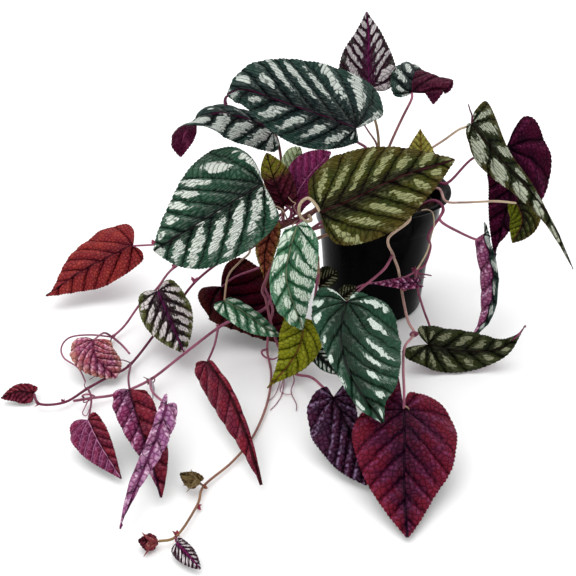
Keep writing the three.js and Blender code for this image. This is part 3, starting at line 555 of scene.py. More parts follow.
def is_small(leaf):
    return sum(leaf["wide"]) < SMALL_LEAF


def leaf_piece(name, leaf, look, seed):
    """A leaf with its finishes in slots: front and back, and a second pair for one half."""
    half = np.array(ACROSS_SMALL if is_small(leaf) else ACROSS)
    u = np.r_[half[::-1], -half[1:]]
    rows = even_rows(leaf, look["tooth"])
    points, run, out = blade(leaf, u, rows)
    count, along, apart = veins = vein_net(leaf, run, out * np.sign(u)[None, :], look)
    piece = grid_piece(name, relief(points, rows, u, veins, look, seed))
    side = np.broadcast_to(u[None, :], out.shape)
    share = run / max(run.max(), 1)
    give(piece, "vein_place", np.stack([count, np.abs(side), share], -1))
    give(piece, "cell_place", np.stack([along / look["cell"], side, 0 * out + seed], -1))
    give(piece, "vein_gap", np.stack([apart, out, run], -1))
    halves = np.where((side >= 0)[..., None], np.array(look["mark"][0]), np.array(look["mark"][1]))
    give(piece, "mark_place", halves)
    for finish in look["finishes"]:
        piece.data.materials.append(finish)
    if "other" in look:
        for face in piece.data.polygons:
            middle = side.ravel()[list(face.vertices)].mean()
            face.material_index = 2 if middle * look["other"][1] > 0 else 0
    solid = piece.modifiers.new("thickness", "SOLIDIFY")
    solid.thickness = THICK * MM
    solid.offset = 0
    solid.material_offset = 1
    apply_modifiers(piece)
    bpy.ops.object.shade_smooth_by_angle(angle=math.radians(50))
    return piece


# %% [markdown]
# ## The finish of a leaf
#
# Fine dark veins divide every blade, and the silver of the patterned leaves lies between the
# side veins in torn patches that never touch the midrib. Nothing is painted by hand: the shader
# reads how near a point is to a vein, where it is between midrib and margin, and in which small
# cell of the vein net it lies. A patch is a soft oval between two side veins whose rim is broken
# up cell by cell. The same numbers raise and lower the surface, so that pattern and relief agree.
# The same numbers also paint shade into the creases along the side veins and highlights onto the
# puffed cushions.


# %% The finish that all leaves share
def leaf_finish(name, ink):
    finish, here, shader = new_finish(name, Specular_IOR_Level=ink["shine"])
    veins, across, share = here.stored("vein_place").parts()
    along, side, seed = here.stored("cell_place").parts()
    apart, out, run = here.stored("vein_gap").parts()
    centre, length, width = here.stored("mark_place").parts()
    half = side.math("SIGN")
    spot = here.node("CombineXYZ", {0: run + seed * 77, 1: out * half, 2: 0.0})
    drift = spot.noise(0.09, 1.0)
    grain = spot.noise(1.1, 3.0)
    tuft = spot.noise(0.35, 3.0)
    count = veins + (spot.noise(0.12, 2.0) - 0.5) * 0.3
    phase = count.math("FRACT")
    lot_place = {1: count.math("FLOOR") + half * 40 + seed * 90}
    lot = here.node("TexWhiteNoise", lot_place, noise_dimensions="1D")

    # The fine veins: rungs between the side veins, or an even net where nothing is silver.
    mesh = ink["mesh"]
    if ink["even"]:
        place = here.node("CombineXYZ", {0: run / mesh + seed * 9, 1: out * half / mesh, 2: 0.0})
    else:
        place = here.node("CombineXYZ", {0: count * 1.7 + seed * 7, 1: along + side * 3, 2: 0.0})
    net_place = {"Vector": place, "Scale": 1.0, "Randomness": 0.85}
    net = dict(voronoi_dimensions="2D")
    border = here.node("TexVoronoi", net_place, feature="DISTANCE_TO_EDGE", **net)
    own = here.node("TexVoronoi", net_place, out=1, **net).parts()[0]
    rung = 1 - border.ramp(0.0, ink["line"])
    cushion = border.ramp(0.0, 0.4)

    # The side veins and the midrib, and the side of each puffed interval that catches light.
    near = abs(phase * 2 - 1)
    gap = (1 - near) * apart * 0.5
    side_vein = 1 - gap.ramp(0.05, ink["thick"] - across * ink["thick"] * 0.4)
    crease = 1 - gap.ramp(0.0, ink["crease"])
    midrib = 1 - out.ramp(0.15, 0.85 - share * 0.5)
    lit = (1 - abs(phase - 0.32).ramp(0.0, 0.26)) * across.ramp(0.05, 0.3)
    lit = lit * tuft.ramp(0.4, 0.62) * ink["sheen"]

    # One torn patch between two side veins, larger or smaller by lot.
    lengthwise = (across - centre - (lot - 0.5) * 0.2) / (length * (0.65 + lot * 0.6))
    crosswise = near / width
    torn = (own - 0.5) + (tuft - 0.5) * 1.5 + (grain - 0.5) * 0.6
    body = 1 - lengthwise * lengthwise - crosswise * crosswise + torn
    mark = body.ramp(0.0, 0.3) * (1 - rung * ink["comb"]) * (1 - side_vein)

    # The inks are laid over each other, from the ground colour up to the midrib.
    heart = (1 - across.ramp(0.0, ink["heart"])) * ink["dusk"]
    # Painted highlight: the middle of each cell of the vein net is lightened towards the mark
    # colour, in clouds, as if light caught the puffed blade there.
    painted_highlight = cushion * tuft.ramp(0.3, 0.7) * ink["glow"]
    silver = colour_mix(grain.ramp(0.35, 0.75) * 0.5, linear(ink["mark"]), linear(ink["tint"]))
    layers = [
        ((across + (tuft - 0.5) * 0.5).ramp(0.55, 1.0) * ink["rim"], linear(ink["edge"])),
        # Painted shade: the creases along the side veins darken towards the deep colour by the
        # shade strength. The heart by the midrib and the fine veins darken it too.
        ((heart + crease * ink["shade"] + rung * 0.2).math("MINIMUM", 1.0), linear(ink["deep"])),
        ((share + (tuft - 0.5) * 0.3).ramp(0.45, 0.7) * ink["end"], linear(ink["tip"])),
        # Painted highlights, on the cushions and on the lit side of each puffed interval.
        ((painted_highlight + lit).math("MINIMUM", 1.0), linear(ink["mark"])),
        (mark * ink["silver"], silver),
        (rung * ink["net"], linear(ink["vein"])),
        (side_vein * 0.9, linear(ink["vein"])),
        (midrib, linear(ink["rib"])),
    ]
    colour = colour_mix(drift.ramp(0.35, 0.65), linear(ink["base"]), linear(ink["tint"]))
    for cover, over in layers:
        colour = colour_mix(cover, colour, over)
    rough = ink["rough"] + mark * 0.08 + (grain - 0.5) * 0.2
    height = cushion * ink["relief"] - side_vein - crease * 0.9 - midrib * 1.3 + grain * 0.35
    feed(shader, Base_Color=colour, Roughness=rough, Normal=bump(height, 1.0, 0.8 * MM))
    return finish


# %% The inks of every finish
def ink(codes, **more):
    """Seven colours: base, tint, deep, silver mark, vein, rib and edge, and what is unusual. The
    mark colour also paints the highlights, and deep paints the shade in the creases.
    """
    colours = dict(zip(("base", "tint", "deep", "mark", "vein", "rib", "edge"), codes.split()))
    # The highlight on the cushions and the sheen are strengths of painted highlights; shade is the
    # strength of the painted shade in the creases.
    usual = dict(heart=0.5, dusk=0.75, silver=1.0, glow=0.08, rough=0.42, shine=0.05)
    lines = dict(crease=2.6, shade=0.6, thick=0.6, line=0.14, net=0.42, comb=0.6, mesh=3.0)
    rest = dict(even=False, sheen=0.12, rim=0.3, end=0.0, tip=colours["edge"], relief=0.7)
    return {**colours, **usual, **lines, **rest, **more}


def plain(codes, **more):
    """Ink for a leaf without silver, which shows an even net of veins."""
    net = dict(even=True, silver=0.0, crease=2.4, shade=0.45, thick=0.5, line=0.13, net=0.6)
    rest = dict(glow=0.1, dusk=0.35, sheen=0.3, rim=0.15, mesh=3.8, relief=0.6)
    return ink(codes, **{**net, **rest, **more})


INKS = {
    "dark_silver": ink("#142826 #1c3430 #080e10 #d6ded6 #06080a #3a0f2a #28503e"),
    "silver": ink("#1b3f2c #26503a #0a1a15 #eaf0e6 #06120e #20121a #345a44"),
    "pale_silver": ink("#34684a #488058 #1c4430 #e4f0e0 #1a4029 #6d7a5e #68a080",
        dusk=0.35, sheen=0.35, thick=0.4, crease=1.8, shade=0.45),
    "gloss_silver": ink("#0c2c1a #173f2b #020d07 #dce8de #010603 #060c08 #2a5540",
        rough=0.3, shine=0.1, dusk=0.5, sheen=0.14, relief=0.4, glow=0.03, net=0.1, comb=0.15,
        crease=1.8, shade=0.45),
    "forest": ink("#1e280f #303a14 #0c0c06 #c4cbb4 #080804 #241210 #54461c", rim=0.6),
    "olive": ink("#2f3a10 #43440f #120b06 #a5a878 #0e0a06 #3c141a #5a4018",
        rim=0.45, dusk=0.9, sheen=0.2),
    "dark_olive": ink("#1c2210 #2c3212 #080804 #86886c #040402 #181008 #343c1c"),
    "young": ink("#12160c #1e220e #2c0a20 #ded4d4 #0c050b #5a1448 #5c6228",
        heart=0.42, dusk=1.0, rim=0.8),
    "young_violet": ink("#161510 #26201c #4c1038 #ece4e6 #0e070c #741c58 #343028",
        heart=0.38, dusk=1.0),
    "burgundy": plain("#5c0a1e #460b28 #1e0318 #8c4878 #0e0108 #1c0418 #761826",
        dusk=0.7, heart=0.7, rim=0.6, rough=0.36, shade=0.4, thick=0.4),
    "scarlet": plain("#7c1c2c #641830 #2c0410 #b86474 #240410 #30060f #5c1018", sheen=0.35),
    "night": plain("#3c0522 #28041a #06010a #8c3464 #030103 #12020c #4c1418",
        sheen=0.35, shine=0.02, glow=0.03, shade=0.75),
    "night_rim": plain("#3c0414 #2c0412 #0a0106 #6c2444 #030103 #12020c #4c2418",
        rim=0.6, sheen=0.15, shine=0.02, glow=0.03, shade=0.75),
    "flame": plain("#8e2c28 #7c2026 #480a1a #b85850 #3a0414 #380616 #7c2c20",
        dusk=0.6, mesh=3.4, thick=0.7, sheen=0.2, net=0.75, glow=0.25),
    "violet": plain("#7c2450 #5c1840 #28061e #d4a0c4 #1c0414 #340828 #8c2c44",
        sheen=0.85, rough=0.34, glow=0.2),
    "dusk": plain("#3c0c2a #2a0a24 #09020a #a88cb4 #060207 #12040e #38121e",
        sheen=0.5, rough=0.34),
    "rose": plain("#8c4468 #7c3462 #4c1434 #e2b6d6 #34102a #5c1c44 #a4607c", sheen=0.8, glow=0.3),
    "light_rose": plain("#ac6c94 #98588c #602448 #f0cce4 #3c1430 #642450 #b87c94",
        sheen=0.8, glow=0.4),
    "tan_rose": plain("#a44c50 #984870 #5c1c3a #ecb8c8 #40102a #6c2440 #b07c58",
        sheen=0.8, rim=0.7, glow=0.3),
    "magenta": plain("#741a4a #64163e #2c0820 #c060a0 #a85084 #bc6898 #8c3c44",
        sheen=0.4, net=0.5, thick=0.8),
    "pink_vein": plain("#6c183a #58143a #2c081c #b8749c #bc709c #d490b8 #88283c",
        thick=1.0, net=0.35),
    "dry": plain("#5c4c28 #6c5430 #241c0c #a8946c #2c200c #3c2c14 #7c3a24", sheen=0.2),
    "brick": plain("#84402e #8c4a2e #401410 #c8846c #300a0c #340c10 #84803a", rim=0.8),
    "lime": plain("#666e10 #545c10 #2c3006 #aeb63c #222406 #5c3c20 #64581e"),
    "bright_lime": plain("#868a18 #747a14 #40440c #c0c450 #30330a #6c4a20 #806c24"),
    "gold_lime": plain("#aca64c #98943c #64602a #dcd688 #5c4c20 #84602c #b0804c"),
    "pale_lime": plain("#c0d4a4 #ccdcb8 #94a468 #eaf2e2 #94a474 #94a46c #b8c890"),
    "slip": plain("#4c1020 #3c0c1c #1c040c #9c4c68 #180408 #240810 #5c3a18",
        end=0.9, tip="#70701c"),
    "wine_back": plain("#420a28 #521030 #200414 #94486c #782c50 #883c60 #641438", sheen=0.4),
    "wine_fold": plain("#3c0820 #4c1028 #14040c #8c4864 #100208 #5c1c38 #4c1c20", sheen=0.25),
}
finishes = {name: leaf_finish("leaf_" + name, colours) for name, colours in INKS.items()}
print(len(finishes), "leaf finishes")


# %% How each leaf is marked
# Where the silver spots of a half lie between midrib and margin, how long they are on that way,
# and how much of the gap between two side veins they fill.
SPOTS = (0.58, 0.38, 0.55)
PLAIN = (0.5, 0.05, 0.05)
# The number of side veins of a half, how far the two halves are out of step, and how the veins
# slant, bow and fan out at the base. Then puff, tooth, bite, cell and warp in mm, where puff is
# per mm of the gap between two veins.
USUAL = dict(
    veins=5.5, shift=0.3, slant=0.95, arc=0.6, fan=1.3, mark=(SPOTS, SPOTS), puff=0.18,
    tooth=3.4, bite=0.7, cell=2.6, warp=1.2,
)
SMALL_LIMITS = dict(cell=2.2, tooth=2.4, bite=0.5)
# The front and back of each kind. A leaf's own front, back or other half comes before these.
KIND_FINISH = dict(
    silver=("silver", "wine_back"), olive=("olive", "wine_back"), young=("young", "wine_back"),
    burgundy=("scarlet", "dark_olive"), terracotta=("flame", "wine_back"),
    mauve=("violet", "silver"), lime=("lime", "wine_back"),
)
SPOTTED = ("silver", "olive", "young")
OWN_LOOK = {
    1: dict(front="dark_silver", slant=1.15, mark=((0.55, 0.36, 0.5), (0.6, 0.32, 0.5))),
    2: dict(front="young_violet", veins=6.5, slant=1.3,
        mark=((0.62, 0.42, 0.68), (0.62, 0.42, 0.68))),
    3: dict(front="dark_silver", other=("wine_fold", -1)),
    4: dict(front="dark_silver", veins=5, mark=((0.5, 0.5, 0.7), (0.5, 0.1, 0.2))),
    5: dict(mark=((0.52, 0.5, 0.66), (0.74, 0.28, 0.6)), slant=0.9),
    6: dict(slant=1.1, mark=((0.56, 0.38, 0.45), (0.62, 0.32, 0.45))),
    7: dict(front="gold_lime"),
    8: dict(front="forest", veins=6, mark=((0.6, 0.38, 0.52), (0.5, 0.48, 0.72))),
    9: dict(front="night"),
    10: dict(other=("olive", 1)),
    11: dict(front="rose", puff=0.25, other=("dark_silver", 1), mark=(SPOTS, PLAIN)),
    12: dict(front="dark_olive", veins=5, mark=((0.55, 0.36, 0.45), (0.6, 0.36, 0.45))),
    13: dict(front="pale_silver", mark=((0.6, 0.45, 0.76), (0.5, 0.48, 0.72))),
    14: dict(front="gloss_silver", veins=4.6, slant=1.7,
        mark=((0.58, 0.2, 0.42), (0.84, 0.18, 0.46))),
    15: dict(front="burgundy", slant=0.9),
    16: dict(front="dusk", puff=0.25, slant=1.9, veins=4.5),
    18: dict(mark=((0.62, 0.42, 0.6), (0.62, 0.42, 0.6))),
    19: dict(front="tan_rose", puff=0.3),
    21: dict(front="pink_vein", other=("scarlet", 1), veins=6),
    22: dict(puff=0.25, other=("scarlet", 1)),
    23: dict(front="light_rose", puff=0.25),
    25: dict(front="dry"),
    27: dict(front="young_violet", veins=7, mark=(SPOTS, SPOTS)),
    28: dict(front="bright_lime"),
    29: dict(front="night_rim", back="dark_olive"),
    30: dict(front="pale_silver"),
    31: dict(front="magenta", veins=6.5),
    32: dict(front="slip"),
    33: dict(front="pale_lime"),
    34: dict(front="brick"),
    35: dict(front="dark_olive"),
    36: dict(front="dark_olive"),
}


def look_of(name, leaf):
    own = OWN_LOOK.get(int(name[-2:]), {})
    look = {**USUAL, **own}
    front, back = KIND_FINISH[leaf["kind"]]
    names = [own.get("front", front), own.get("back", back)]
    if "other" in own:
        names += [own["other"][0], names[1]]
    look["finishes"] = [finishes[name] for name in names]
    if leaf["kind"] not in SPOTTED and "mark" not in own:
        look["mark"] = (PLAIN, PLAIN)
    if is_small(leaf):
        look.update({key: min(look[key], most) for key, most in SMALL_LIMITS.items()})
    return look


# %% All the leaves
total = 0
for seed, (name, leaf) in enumerate(LEAVES.items()):
    piece = leaf_piece(name + "_blade", leaf, look_of(name, leaf), seed)
    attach(piece, "root")
    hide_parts(name)
    "leaf_" + leaf["kind"]
    total += len(piece.data.polygons)
print(len(LEAVES), "leaves with", total, "faces")

# %% The vines
# Each stem is a radius in mm, its colours at start and end, and the points that its middle runs
# through, in mm. The colours are pink, wine, dark, cream, tan, brown, gold and moss.
STEM_COLOURS = dict(
    P="#9a5670", W="#702a48", D="#4a1834", C="#c8b596",
    T="#a98a70", B="#6a3d38", G="#8a6c42", M="#7d7a44",
)
VINES = {
    "stem_crown": [
        (3, "BW", [[2, 6, 92], [0, 2, 108], [-4, -2, 124], [-8, -4, 136]]),
        (1.35, "PP", [[-6, -3, 130], [-12, -8, 155], [-23, -26, 170], [-26, -42, 187]]),
        (1.4, "MT", [[-4, -1, 124], [-1, 4, 150], [-2, 18, 166], [-7, 27, 181], [-9, 32, 198]]),
        (1.4, "TP", [[-1, 2, 116], [7, 4, 149], [12, 6, 163], [19, 6, 181], [25, 5, 196],
          [26, 12, 200]]),
        (1.2, "MM", [[-4, -2, 124], [12, -24, 134], [31, -40, 154]]),
        (1.3, "PC", [[1, 4, 106], [30, 2, 122], [40, 10, 143], [59, 12, 158], [69, 10, 167],
          [75, 9, 170], [79, 6, 174]]),
        (1.4, "WW", [[1, 4, 103], [26, 2, 112], [48, 6, 122], [61, -3, 122], [88, 30, 132],
          [112, 44, 134], [120, 36, 140]]),
        (1.25, "PC", [[1, 4, 104], [20, -6, 109], [50, -12, 121], [54, -40, 121], [74, -14, 108],
          [102, -18, 111], [121, -20, 110]]),
    ],
    "stem_left": [
        (2.6, "BB", [[-23, -19, 94], [-36, -29, 112], [-47, -38, 122.5], [-58, -50, 117],
          [-71, -66, 116], [-81, -70, 115], [-93, -76, 113]]),
        (1.3, "PW", [[-71, -66, 116], [-73, -60, 120], [-78, -54, 123]]),
        (1.3, "PW", [[-81, -70, 115], [-78, -70, 125], [-84, -65, 129]]),
        (1.3, "MM", [[-78, -70, 125], [-83, -52, 129], [-81, -37, 139]]),
        (1.4, "BB", [[-91, -75, 113], [-94, -80, 115], [-95, -84, 116]]),
        (1.4, "PP", [[-71, -66, 116], [-70, -86, 124], [-74, -103, 128]]),
        (1.4, "PC", [[-88, -74, 114], [-93, -70, 128], [-99, -68, 142], [-101, -78, 153]]),
        (1.5, "BB", [[-85, -72, 115], [-86, -36, 130], [-87, -16, 149], [-90, -8, 164],
          [-94, -8, 172]]),
        (1.5, "CC", [[-64, -58, 116.5], [-62, -74, 119], [-68, -81, 122], [-72, -85, 131],
          [-71, -87, 140], [-65, -88, 145], [-59, -89, 140], [-55, -90, 133]]),
    ],
    "vine_a": [
        (1.3, "WP", [[-29, -7, 94], [-45, -11, 112], [-59, -15, 122.5], [-69, -17, 116],
          [-112, -44, 88], [-146, -40, 76], [-185, -20, 46], [-201, -32, 30], [-216, -39, 18],
          [-228, -58, 7], [-237, -73, 4]]),
        (0.9, "PW", [[-185, -20, 46], [-191, -37, 46], [-196, -57, 42]]),
        (0.8, "PP", [[-237, -73, 4], [-254, -82, 12], [-270, -89, 14], [-277, -95, 8],
          [-273, -106, 4], [-257, -123, 5], [-247, -143, 5]]),
        (1, "PP", [[-237, -73, 4], [-242, -82, 14], [-245, -109, 24]]),
        (1.1, "WP", [[-237, -73, 4], [-224, -98, 12], [-213, -121, 18]]),
    ],
    "vine_b": [
        (1.3, "WW", [[-27, -14, 94], [-41, -21, 112], [-54, -27, 122.5], [-63, -32, 116],
          [-110, -60, 88], [-135, -34, 64], [-164, -44, 44], [-184, -60, 22], [-196, -74, 12],
          [-214, -117, 5], [-229, -133, 4], [-244, -150, 4], [-258, -170, 5], [-277, -174, 6],
          [-285, -161, 7]]),
        (1, "WW", [[-214, -117, 5], [-207, -164, 24], [-201, -192, 32]]),
        (0.9, "WW", [[-244, -150, 4], [-234, -181, 16], [-229, -215, 22]]),
    ],
    "vine_c": [
        (1.35, "PP", [[-18, -24, 94], [-28, -36, 112], [-37, -48, 122.5], [-44, -56, 116],
          [-86, -84, 92], [-98, -88, 46], [-122, -98, 40], [-140, -102, 32], [-171, -124, 17],
          [-194, -144, 8], [-218, -159, 5], [-237, -166, 6], [-251, -174, 9]]),
        (1.1, "PW", [[-140, -102, 32], [-141, -132, 34], [-145, -153, 32]]),
        (1.1, "PW", [[-86, -84, 92], [-103, -63, 70], [-128, -42, 48], [-142, -29, 30]]),
        (1.1, "PP", [[-194, -144, 8], [-183, -196, 34], [-168, -228, 46]]),
    ],
    "vine_d": [
        (1.35, "BP", [[-13, -27, 94], [-19, -42, 112], [-26, -55, 122.5], [-30, -64, 116],
          [-79, -92, 110], [-101, -100, 72], [-99, -110, 64], [-95, -101, 34], [-88, -107, 13],
          [-77, -133, 8], [-63, -157, 20], [-55, -183, 30], [-47, -204, 34]]),
        (1.1, "PG", [[-101, -100, 72], [-94, -100, 50], [-97, -85, 24], [-99, -95, 5],
          [-95, -130, 3], [-98, -171, 3], [-108, -212, 3], [-122, -240, 3], [-140, -266, 4],
          [-143, -285, 4], [-154, -314, 4], [-166, -320, 5]]),
        (0.8, "GB", [[-140, -266, 4], [-141.5, -267, 6], [-143, -267, 8]]),
        (0.8, "WW", [[-154, -314, 4], [-154, -319, 6], [-153, -323, 7]]),
    ],
    "vine_e": [
        (1.3, "CP", [[8, -29, 94], [13, -44, 112], [17, -58, 122.5], [20, -68, 116], [3, -71, 101],
          [8, -68, 84], [14, -66, 68], [18, -66, 48], [18, -112, 46], [21, -131, 45],
          [11, -153, 46], [6, -186, 49], [3, -218, 50], [2, -229, 42]]),
        (1.2, "PW", [[8, -68, 84], [-1, -84, 78], [-23, -116, 77], [-35, -140, 79]]),
    ],
    "vine_f": [
        (1.25, "WP", [[22, -21, 94], [33, -32, 112], [44, -42, 122.5], [51, -49, 116],
          [39, -56, 97], [42, -54, 84], [38, -54, 66], [31, -54, 60], [34, -56, 42], [41, -53, 20],
          [43, -80, 18], [37, -113, 22]]),
        (1.3, "PP", [[51, -49, 116], [49, -52, 108], [67, -50, 96], [84, -48, 88], [89, -48, 94]]),
        (1, "PP", [[31, -54, 60], [30, -70, 57]]),
        (0.9, "PP", [[31, -54, 60], [20, -59, 57], [-1, -64, 55], [-19, -71, 55], [-37, -74, 41]]),
    ],
    "vine_g": [
        (1.6, "TT", [[-6, -29, 94], [-9, -45, 112], [-12, -59, 122.5], [-14, -70, 116],
          [-58, -74, 101], [-56, -72, 83], [-55, -72, 69], [-55, -74, 57]]),
        (1.3, "MM", [[-56, -72, 83], [-64, -92, 57], [-68, -103, 42]]),
        (1.2, "PP", [[-55, -72, 69], [-59, -90, 42], [-59, -118, 18]]),
    ],
    "vine_h": [
        (1.2, "WP", [[-30, -1, 94], [-46, -2, 112], [-60, -2, 122.5], [-71, -2, 116],
          [-123, -34, 89], [-162, -40, 84], [-199, -5, 62], [-230, 23, 46]]),
        (1, "CT", [[-123, -34, 89], [-114, -50, 79], [-122, -70, 78], [-131, -88, 74],
          [-134, -102, 58]]),
    ],
}

# %% [markdown]
# ## Stems
#
# The vine's stems are round, a few millimetres thick, and swell a little wherever a leaf stalk
# leaves them. Each stem is a grid again, this time rolled into a tube along its line: a ring of
# vertices is carried along without twisting, and the seam and both ends are merged shut. The
# colour changes from stem to stem, from wine red on the old ones to cream on young stalks, so
# it is stored on the vertices.

# %% Rolling a grid into a tube
SIDES = 12
KNOT_SWELL = 0.25
TUBE_MERGE = 0.03
THINNEST = 0.02


def tube_points(path, radius, step=1.4, ends=(1.0, 0.8), knots=()):
    """Rings of points round a path in mm, and how far each ring has run."""
    length = along_line(path, 2)[1][-1]
    middle, run, way = along_line(path, max(6, round(length / step)))
    across = np.cross(way[0], [0, 0, 1] if abs(way[0][2]) < 0.9 else [1, 0, 0])
    wide = np.interp(run, [0, run[-1]], ends) * radius
    for knot in knots:
        far = np.linalg.norm(middle - np.array(knot, float), axis=1)
        wide = wide * (1 + KNOT_SWELL * np.exp(-((far / (1.3 * radius + 1.0)) ** 2)))
    cap = np.minimum(run, run[-1] - run) / radius
    wide = wide * np.sqrt(np.clip(1 - (1 - np.clip(cap, 0, 1)) ** 2, 0, 1))
    angles = np.linspace(0, 2 * math.pi, SIDES + 1)
    rings = []
    for centre, aim, r in zip(middle, way, wide):
        across = across - aim * (across @ aim)
        across = across / np.linalg.norm(across)
        other = np.cross(aim, across)
        ring = np.outer(np.cos(angles), across) + np.outer(np.sin(angles), other)
        rings.append(centre + ring * max(r, THINNEST))
    return np.array(rings), run


def tube(name, path, radius, colours, **shape):
    """A closed tube round a path, which fades from its first colour to its last."""
    points, run = tube_points(path, radius, **shape)
    piece = grid_piece(name, points)
    share = np.broadcast_to((run / run[-1])[:, None], points.shape[:2])[..., None]
    first, last = (np.array(linear(STEM_COLOURS[key])[:3]) for key in colours)
    give(piece, "stem_ink", first + (last - first) * share)
    bpy.ops.object.mode_set(mode="EDIT")
    bpy.ops.mesh.select_all(action="SELECT")
    bpy.ops.mesh.remove_doubles(threshold=TUBE_MERGE * MM)
    bpy.ops.object.mode_set(mode="OBJECT")
    bpy.ops.object.shade_smooth()
    return piece


def join(pieces, name):
    """One object made of all the pieces."""
    bpy.ops.object.select_all(action="DESELECT")
    for piece in pieces:
        piece.select_set(True)
    bpy.context.view_layer.objects.active = pieces[0]
    if len(pieces) > 1:
        bpy.ops.object.join()
    pieces[0].name = pieces[0].data.name = name
    return pieces[0]


# %% The finish of a stem
stem_finish, here, shader = new_finish("stem_skin", Specular_IOR_Level=0.2)
fleck = here.spot().noise(900.0, 2.0)
blush = here.spot().noise(70.0, 3.0)
darker = colour_mix(blush.ramp(0.35, 0.75) * 0.55, here.stored("stem_ink"), linear("#4c1c30"))
feed(
    shader,
    Base_Color=colour_mix(fleck.ramp(0.62, 0.75) * 0.25, darker, linear("#d8b8b0")),
    Roughness=0.4 + fleck * 0.2,
    Normal=bump(fleck * 0.4 + blush, 0.5, 0.3 * MM),
)

# %% Every vine
for vine, stems in VINES.items():
    knots = [path[0] for _, _, path in stems[1:]]
    parts = []
    for i, (radius, colours, path) in enumerate(stems):
        parts.append(tube(f"{vine}_{i}", path, radius, colours, knots=() if i else knots))
    piece = join(parts, vine + "_stems")
    piece.data.materials.append(stem_finish)
    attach(piece, "root")
    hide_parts(vine)
    print(vine, len(piece.data.polygons), "faces")

# %% [markdown]
# ## The pot
#
# A thin moulded nursery pot: a tapering body, a stepped band below a rolled lip, and a base with
# drain holes. It is turned from one circle, which is extruded and scaled from ring to ring, out
# over the lip and down the inside. The holes are cut with a Boolean.

# %% Turning a shell from a circle
def turned(name, profile, segments):
    """profile is (radius, height) in mm, from the middle of the base round to the inside."""
    bpy.ops.object.select_all(action="DESELECT")
    (r0, z0) = profile[0]
    bpy.ops.mesh.primitive_circle_add(
        vertices=segments, radius=r0 * MM, location=(0, 0, z0 * MM), fill_type="NOTHING"
    )
    piece = bpy.context.object
    piece.name = piece.data.name = name
    bpy.ops.object.transform_apply(location=True, rotation=True, scale=True)
    bpy.ops.object.mode_set(mode="EDIT")
    bpy.ops.mesh.select_all(action="SELECT")
    for (r0, z0), (r1, z1) in zip(profile, profile[1:]):
        bpy.ops.mesh.extrude_region_move(
            TRANSFORM_OT_translate={"value": (0, 0, (z1 - z0) * MM)}
        )
        bpy.ops.transform.resize(value=(r1 / r0, r1 / r0, 1))
    bpy.ops.mesh.select_all(action="SELECT")
    bpy.ops.mesh.remove_doubles(threshold=0.01 * MM)
    bpy.ops.mesh.normals_make_consistent(inside=False)
    bpy.ops.object.mode_set(mode="OBJECT")
    return piece


# %% The pot's profile
POT_PROFILE = [
    (0.01, 0.8), (30, 0.8), (37, 0.6), (40, 0), (41.4, 0), (44.2, 1.2), (45.4, 4), (47.6, 32),
    (49.4, 56), (52.8, 88), (53.4, 88.2), (55.2, 88.6), (55.5, 89.3), (56.4, 104),
    (56.8, 112.6), (57.2, 113.6), (58.4, 114), (62.8, 114), (64.3, 114.3), (65, 115.3),
    (64.8, 116.4), (63.9, 117), (61, 117), (60, 116.6), (57.2, 114.4), (55.4, 112.6),
    (54.9, 104), (53.9, 90.2), (53.2, 89), (51.4, 87.4), (47.8, 56), (43.9, 7), (42.6, 3.4),
    (40, 2.6), (0.01, 2.6),
]
POT_SIDES = 96

# %% Turning the pot and drilling its drain holes
DRAINS, DRAIN_RING, DRAIN_RADIUS = 4, 0.028, 0.0045
pot = turned("pot_shell", POT_PROFILE, POT_SIDES)
for i in range(DRAINS):
    angle = (i + 0.5) / DRAINS * 2 * math.pi
    spot = (DRAIN_RING * math.cos(angle), DRAIN_RING * math.sin(angle), 0.002)
    bpy.ops.mesh.primitive_cylinder_add(
        vertices=24, radius=DRAIN_RADIUS, depth=0.012, location=spot
    )
    drill = bpy.context.object
    bpy.ops.object.select_all(action="DESELECT")
    bpy.context.view_layer.objects.active = pot
    pot.select_set(True)
    cut = pot.modifiers.new("drain", "BOOLEAN")
    cut.object = drill
    cut.solver = "EXACT"
    apply_modifiers(pot)
    bpy.data.objects.remove(drill)
bpy.ops.object.shade_smooth_by_angle(angle=math.radians(35))
print("pot", len(pot.data.polygons), "faces")

# %% Black moulded plastic
pot_finish, here, shader = new_finish("black_plastic", Specular_IOR_Level=0.03)
x, y, z = here.spot().parts()
scuff = here.spot().noise(420.0, 4.0)
flow = here.node("CombineXYZ", {0: x, 1: y, 2: z * 0.1}).noise(120.0, 3.0)
dust = scuff.ramp(0.55, 0.8) * here.spot().noise(40.0, 3.0).ramp(0.45, 0.7)
feed(
    shader,
    Base_Color=colour_mix(dust * 0.5, linear("#040405"), linear("#161312")),
    Roughness=0.2 + flow * 0.1 + dust * 0.3,
    Normal=bump(flow + scuff * 0.1, 0.35, 0.4 * MM),
)
pot.data.materials.append(pot_finish)
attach(pot, "root")
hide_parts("pot")

# %% [markdown]
# ## Potting mix
#
# The pot is filled with dark crumbly mix. Its body is turned like the pot, subdivided, and its
# top pushed up and down by noise. Crumbs and a few pale grains of perlite lie on it.

# %% The mix
SOIL_PROFILE = [
    (0.01, 2.9), (40.8, 2.9), (43.2, 7), (50.4, 86.6), (52.2, 91), (52.6, 100.4), (49.6, 101),
    (42, 101.6), (34, 102.3), (25, 103), (16, 103.5), (8, 103.8), (0.01, 104),
]
soil = turned("potting_mix", SOIL_PROFILE, 72)
bpy.ops.object.mode_set(mode="EDIT")
bpy.ops.mesh.select_all(action="SELECT")
bpy.ops.mesh.subdivide(number_cuts=1)
bpy.ops.object.mode_set(mode="OBJECT")
# How high the clods on the open top stand in metres, how fine they are, and their own layer.
CLODS = [(0.0022, 110, 0), (0.0016, 320, 5)]
for vertex in soil.data.vertices:
    x, y, z = vertex.co
    if z > 0.1 and math.hypot(x, y) < 0.0518:
        for height, fine, layer in CLODS:
            vertex.co.z += height * noise.noise(Vector((x, y, layer)) * fine)
bpy.ops.object.shade_smooth_by_angle(angle=math.radians(60))
print("mix", len(soil.data.polygons), "faces")

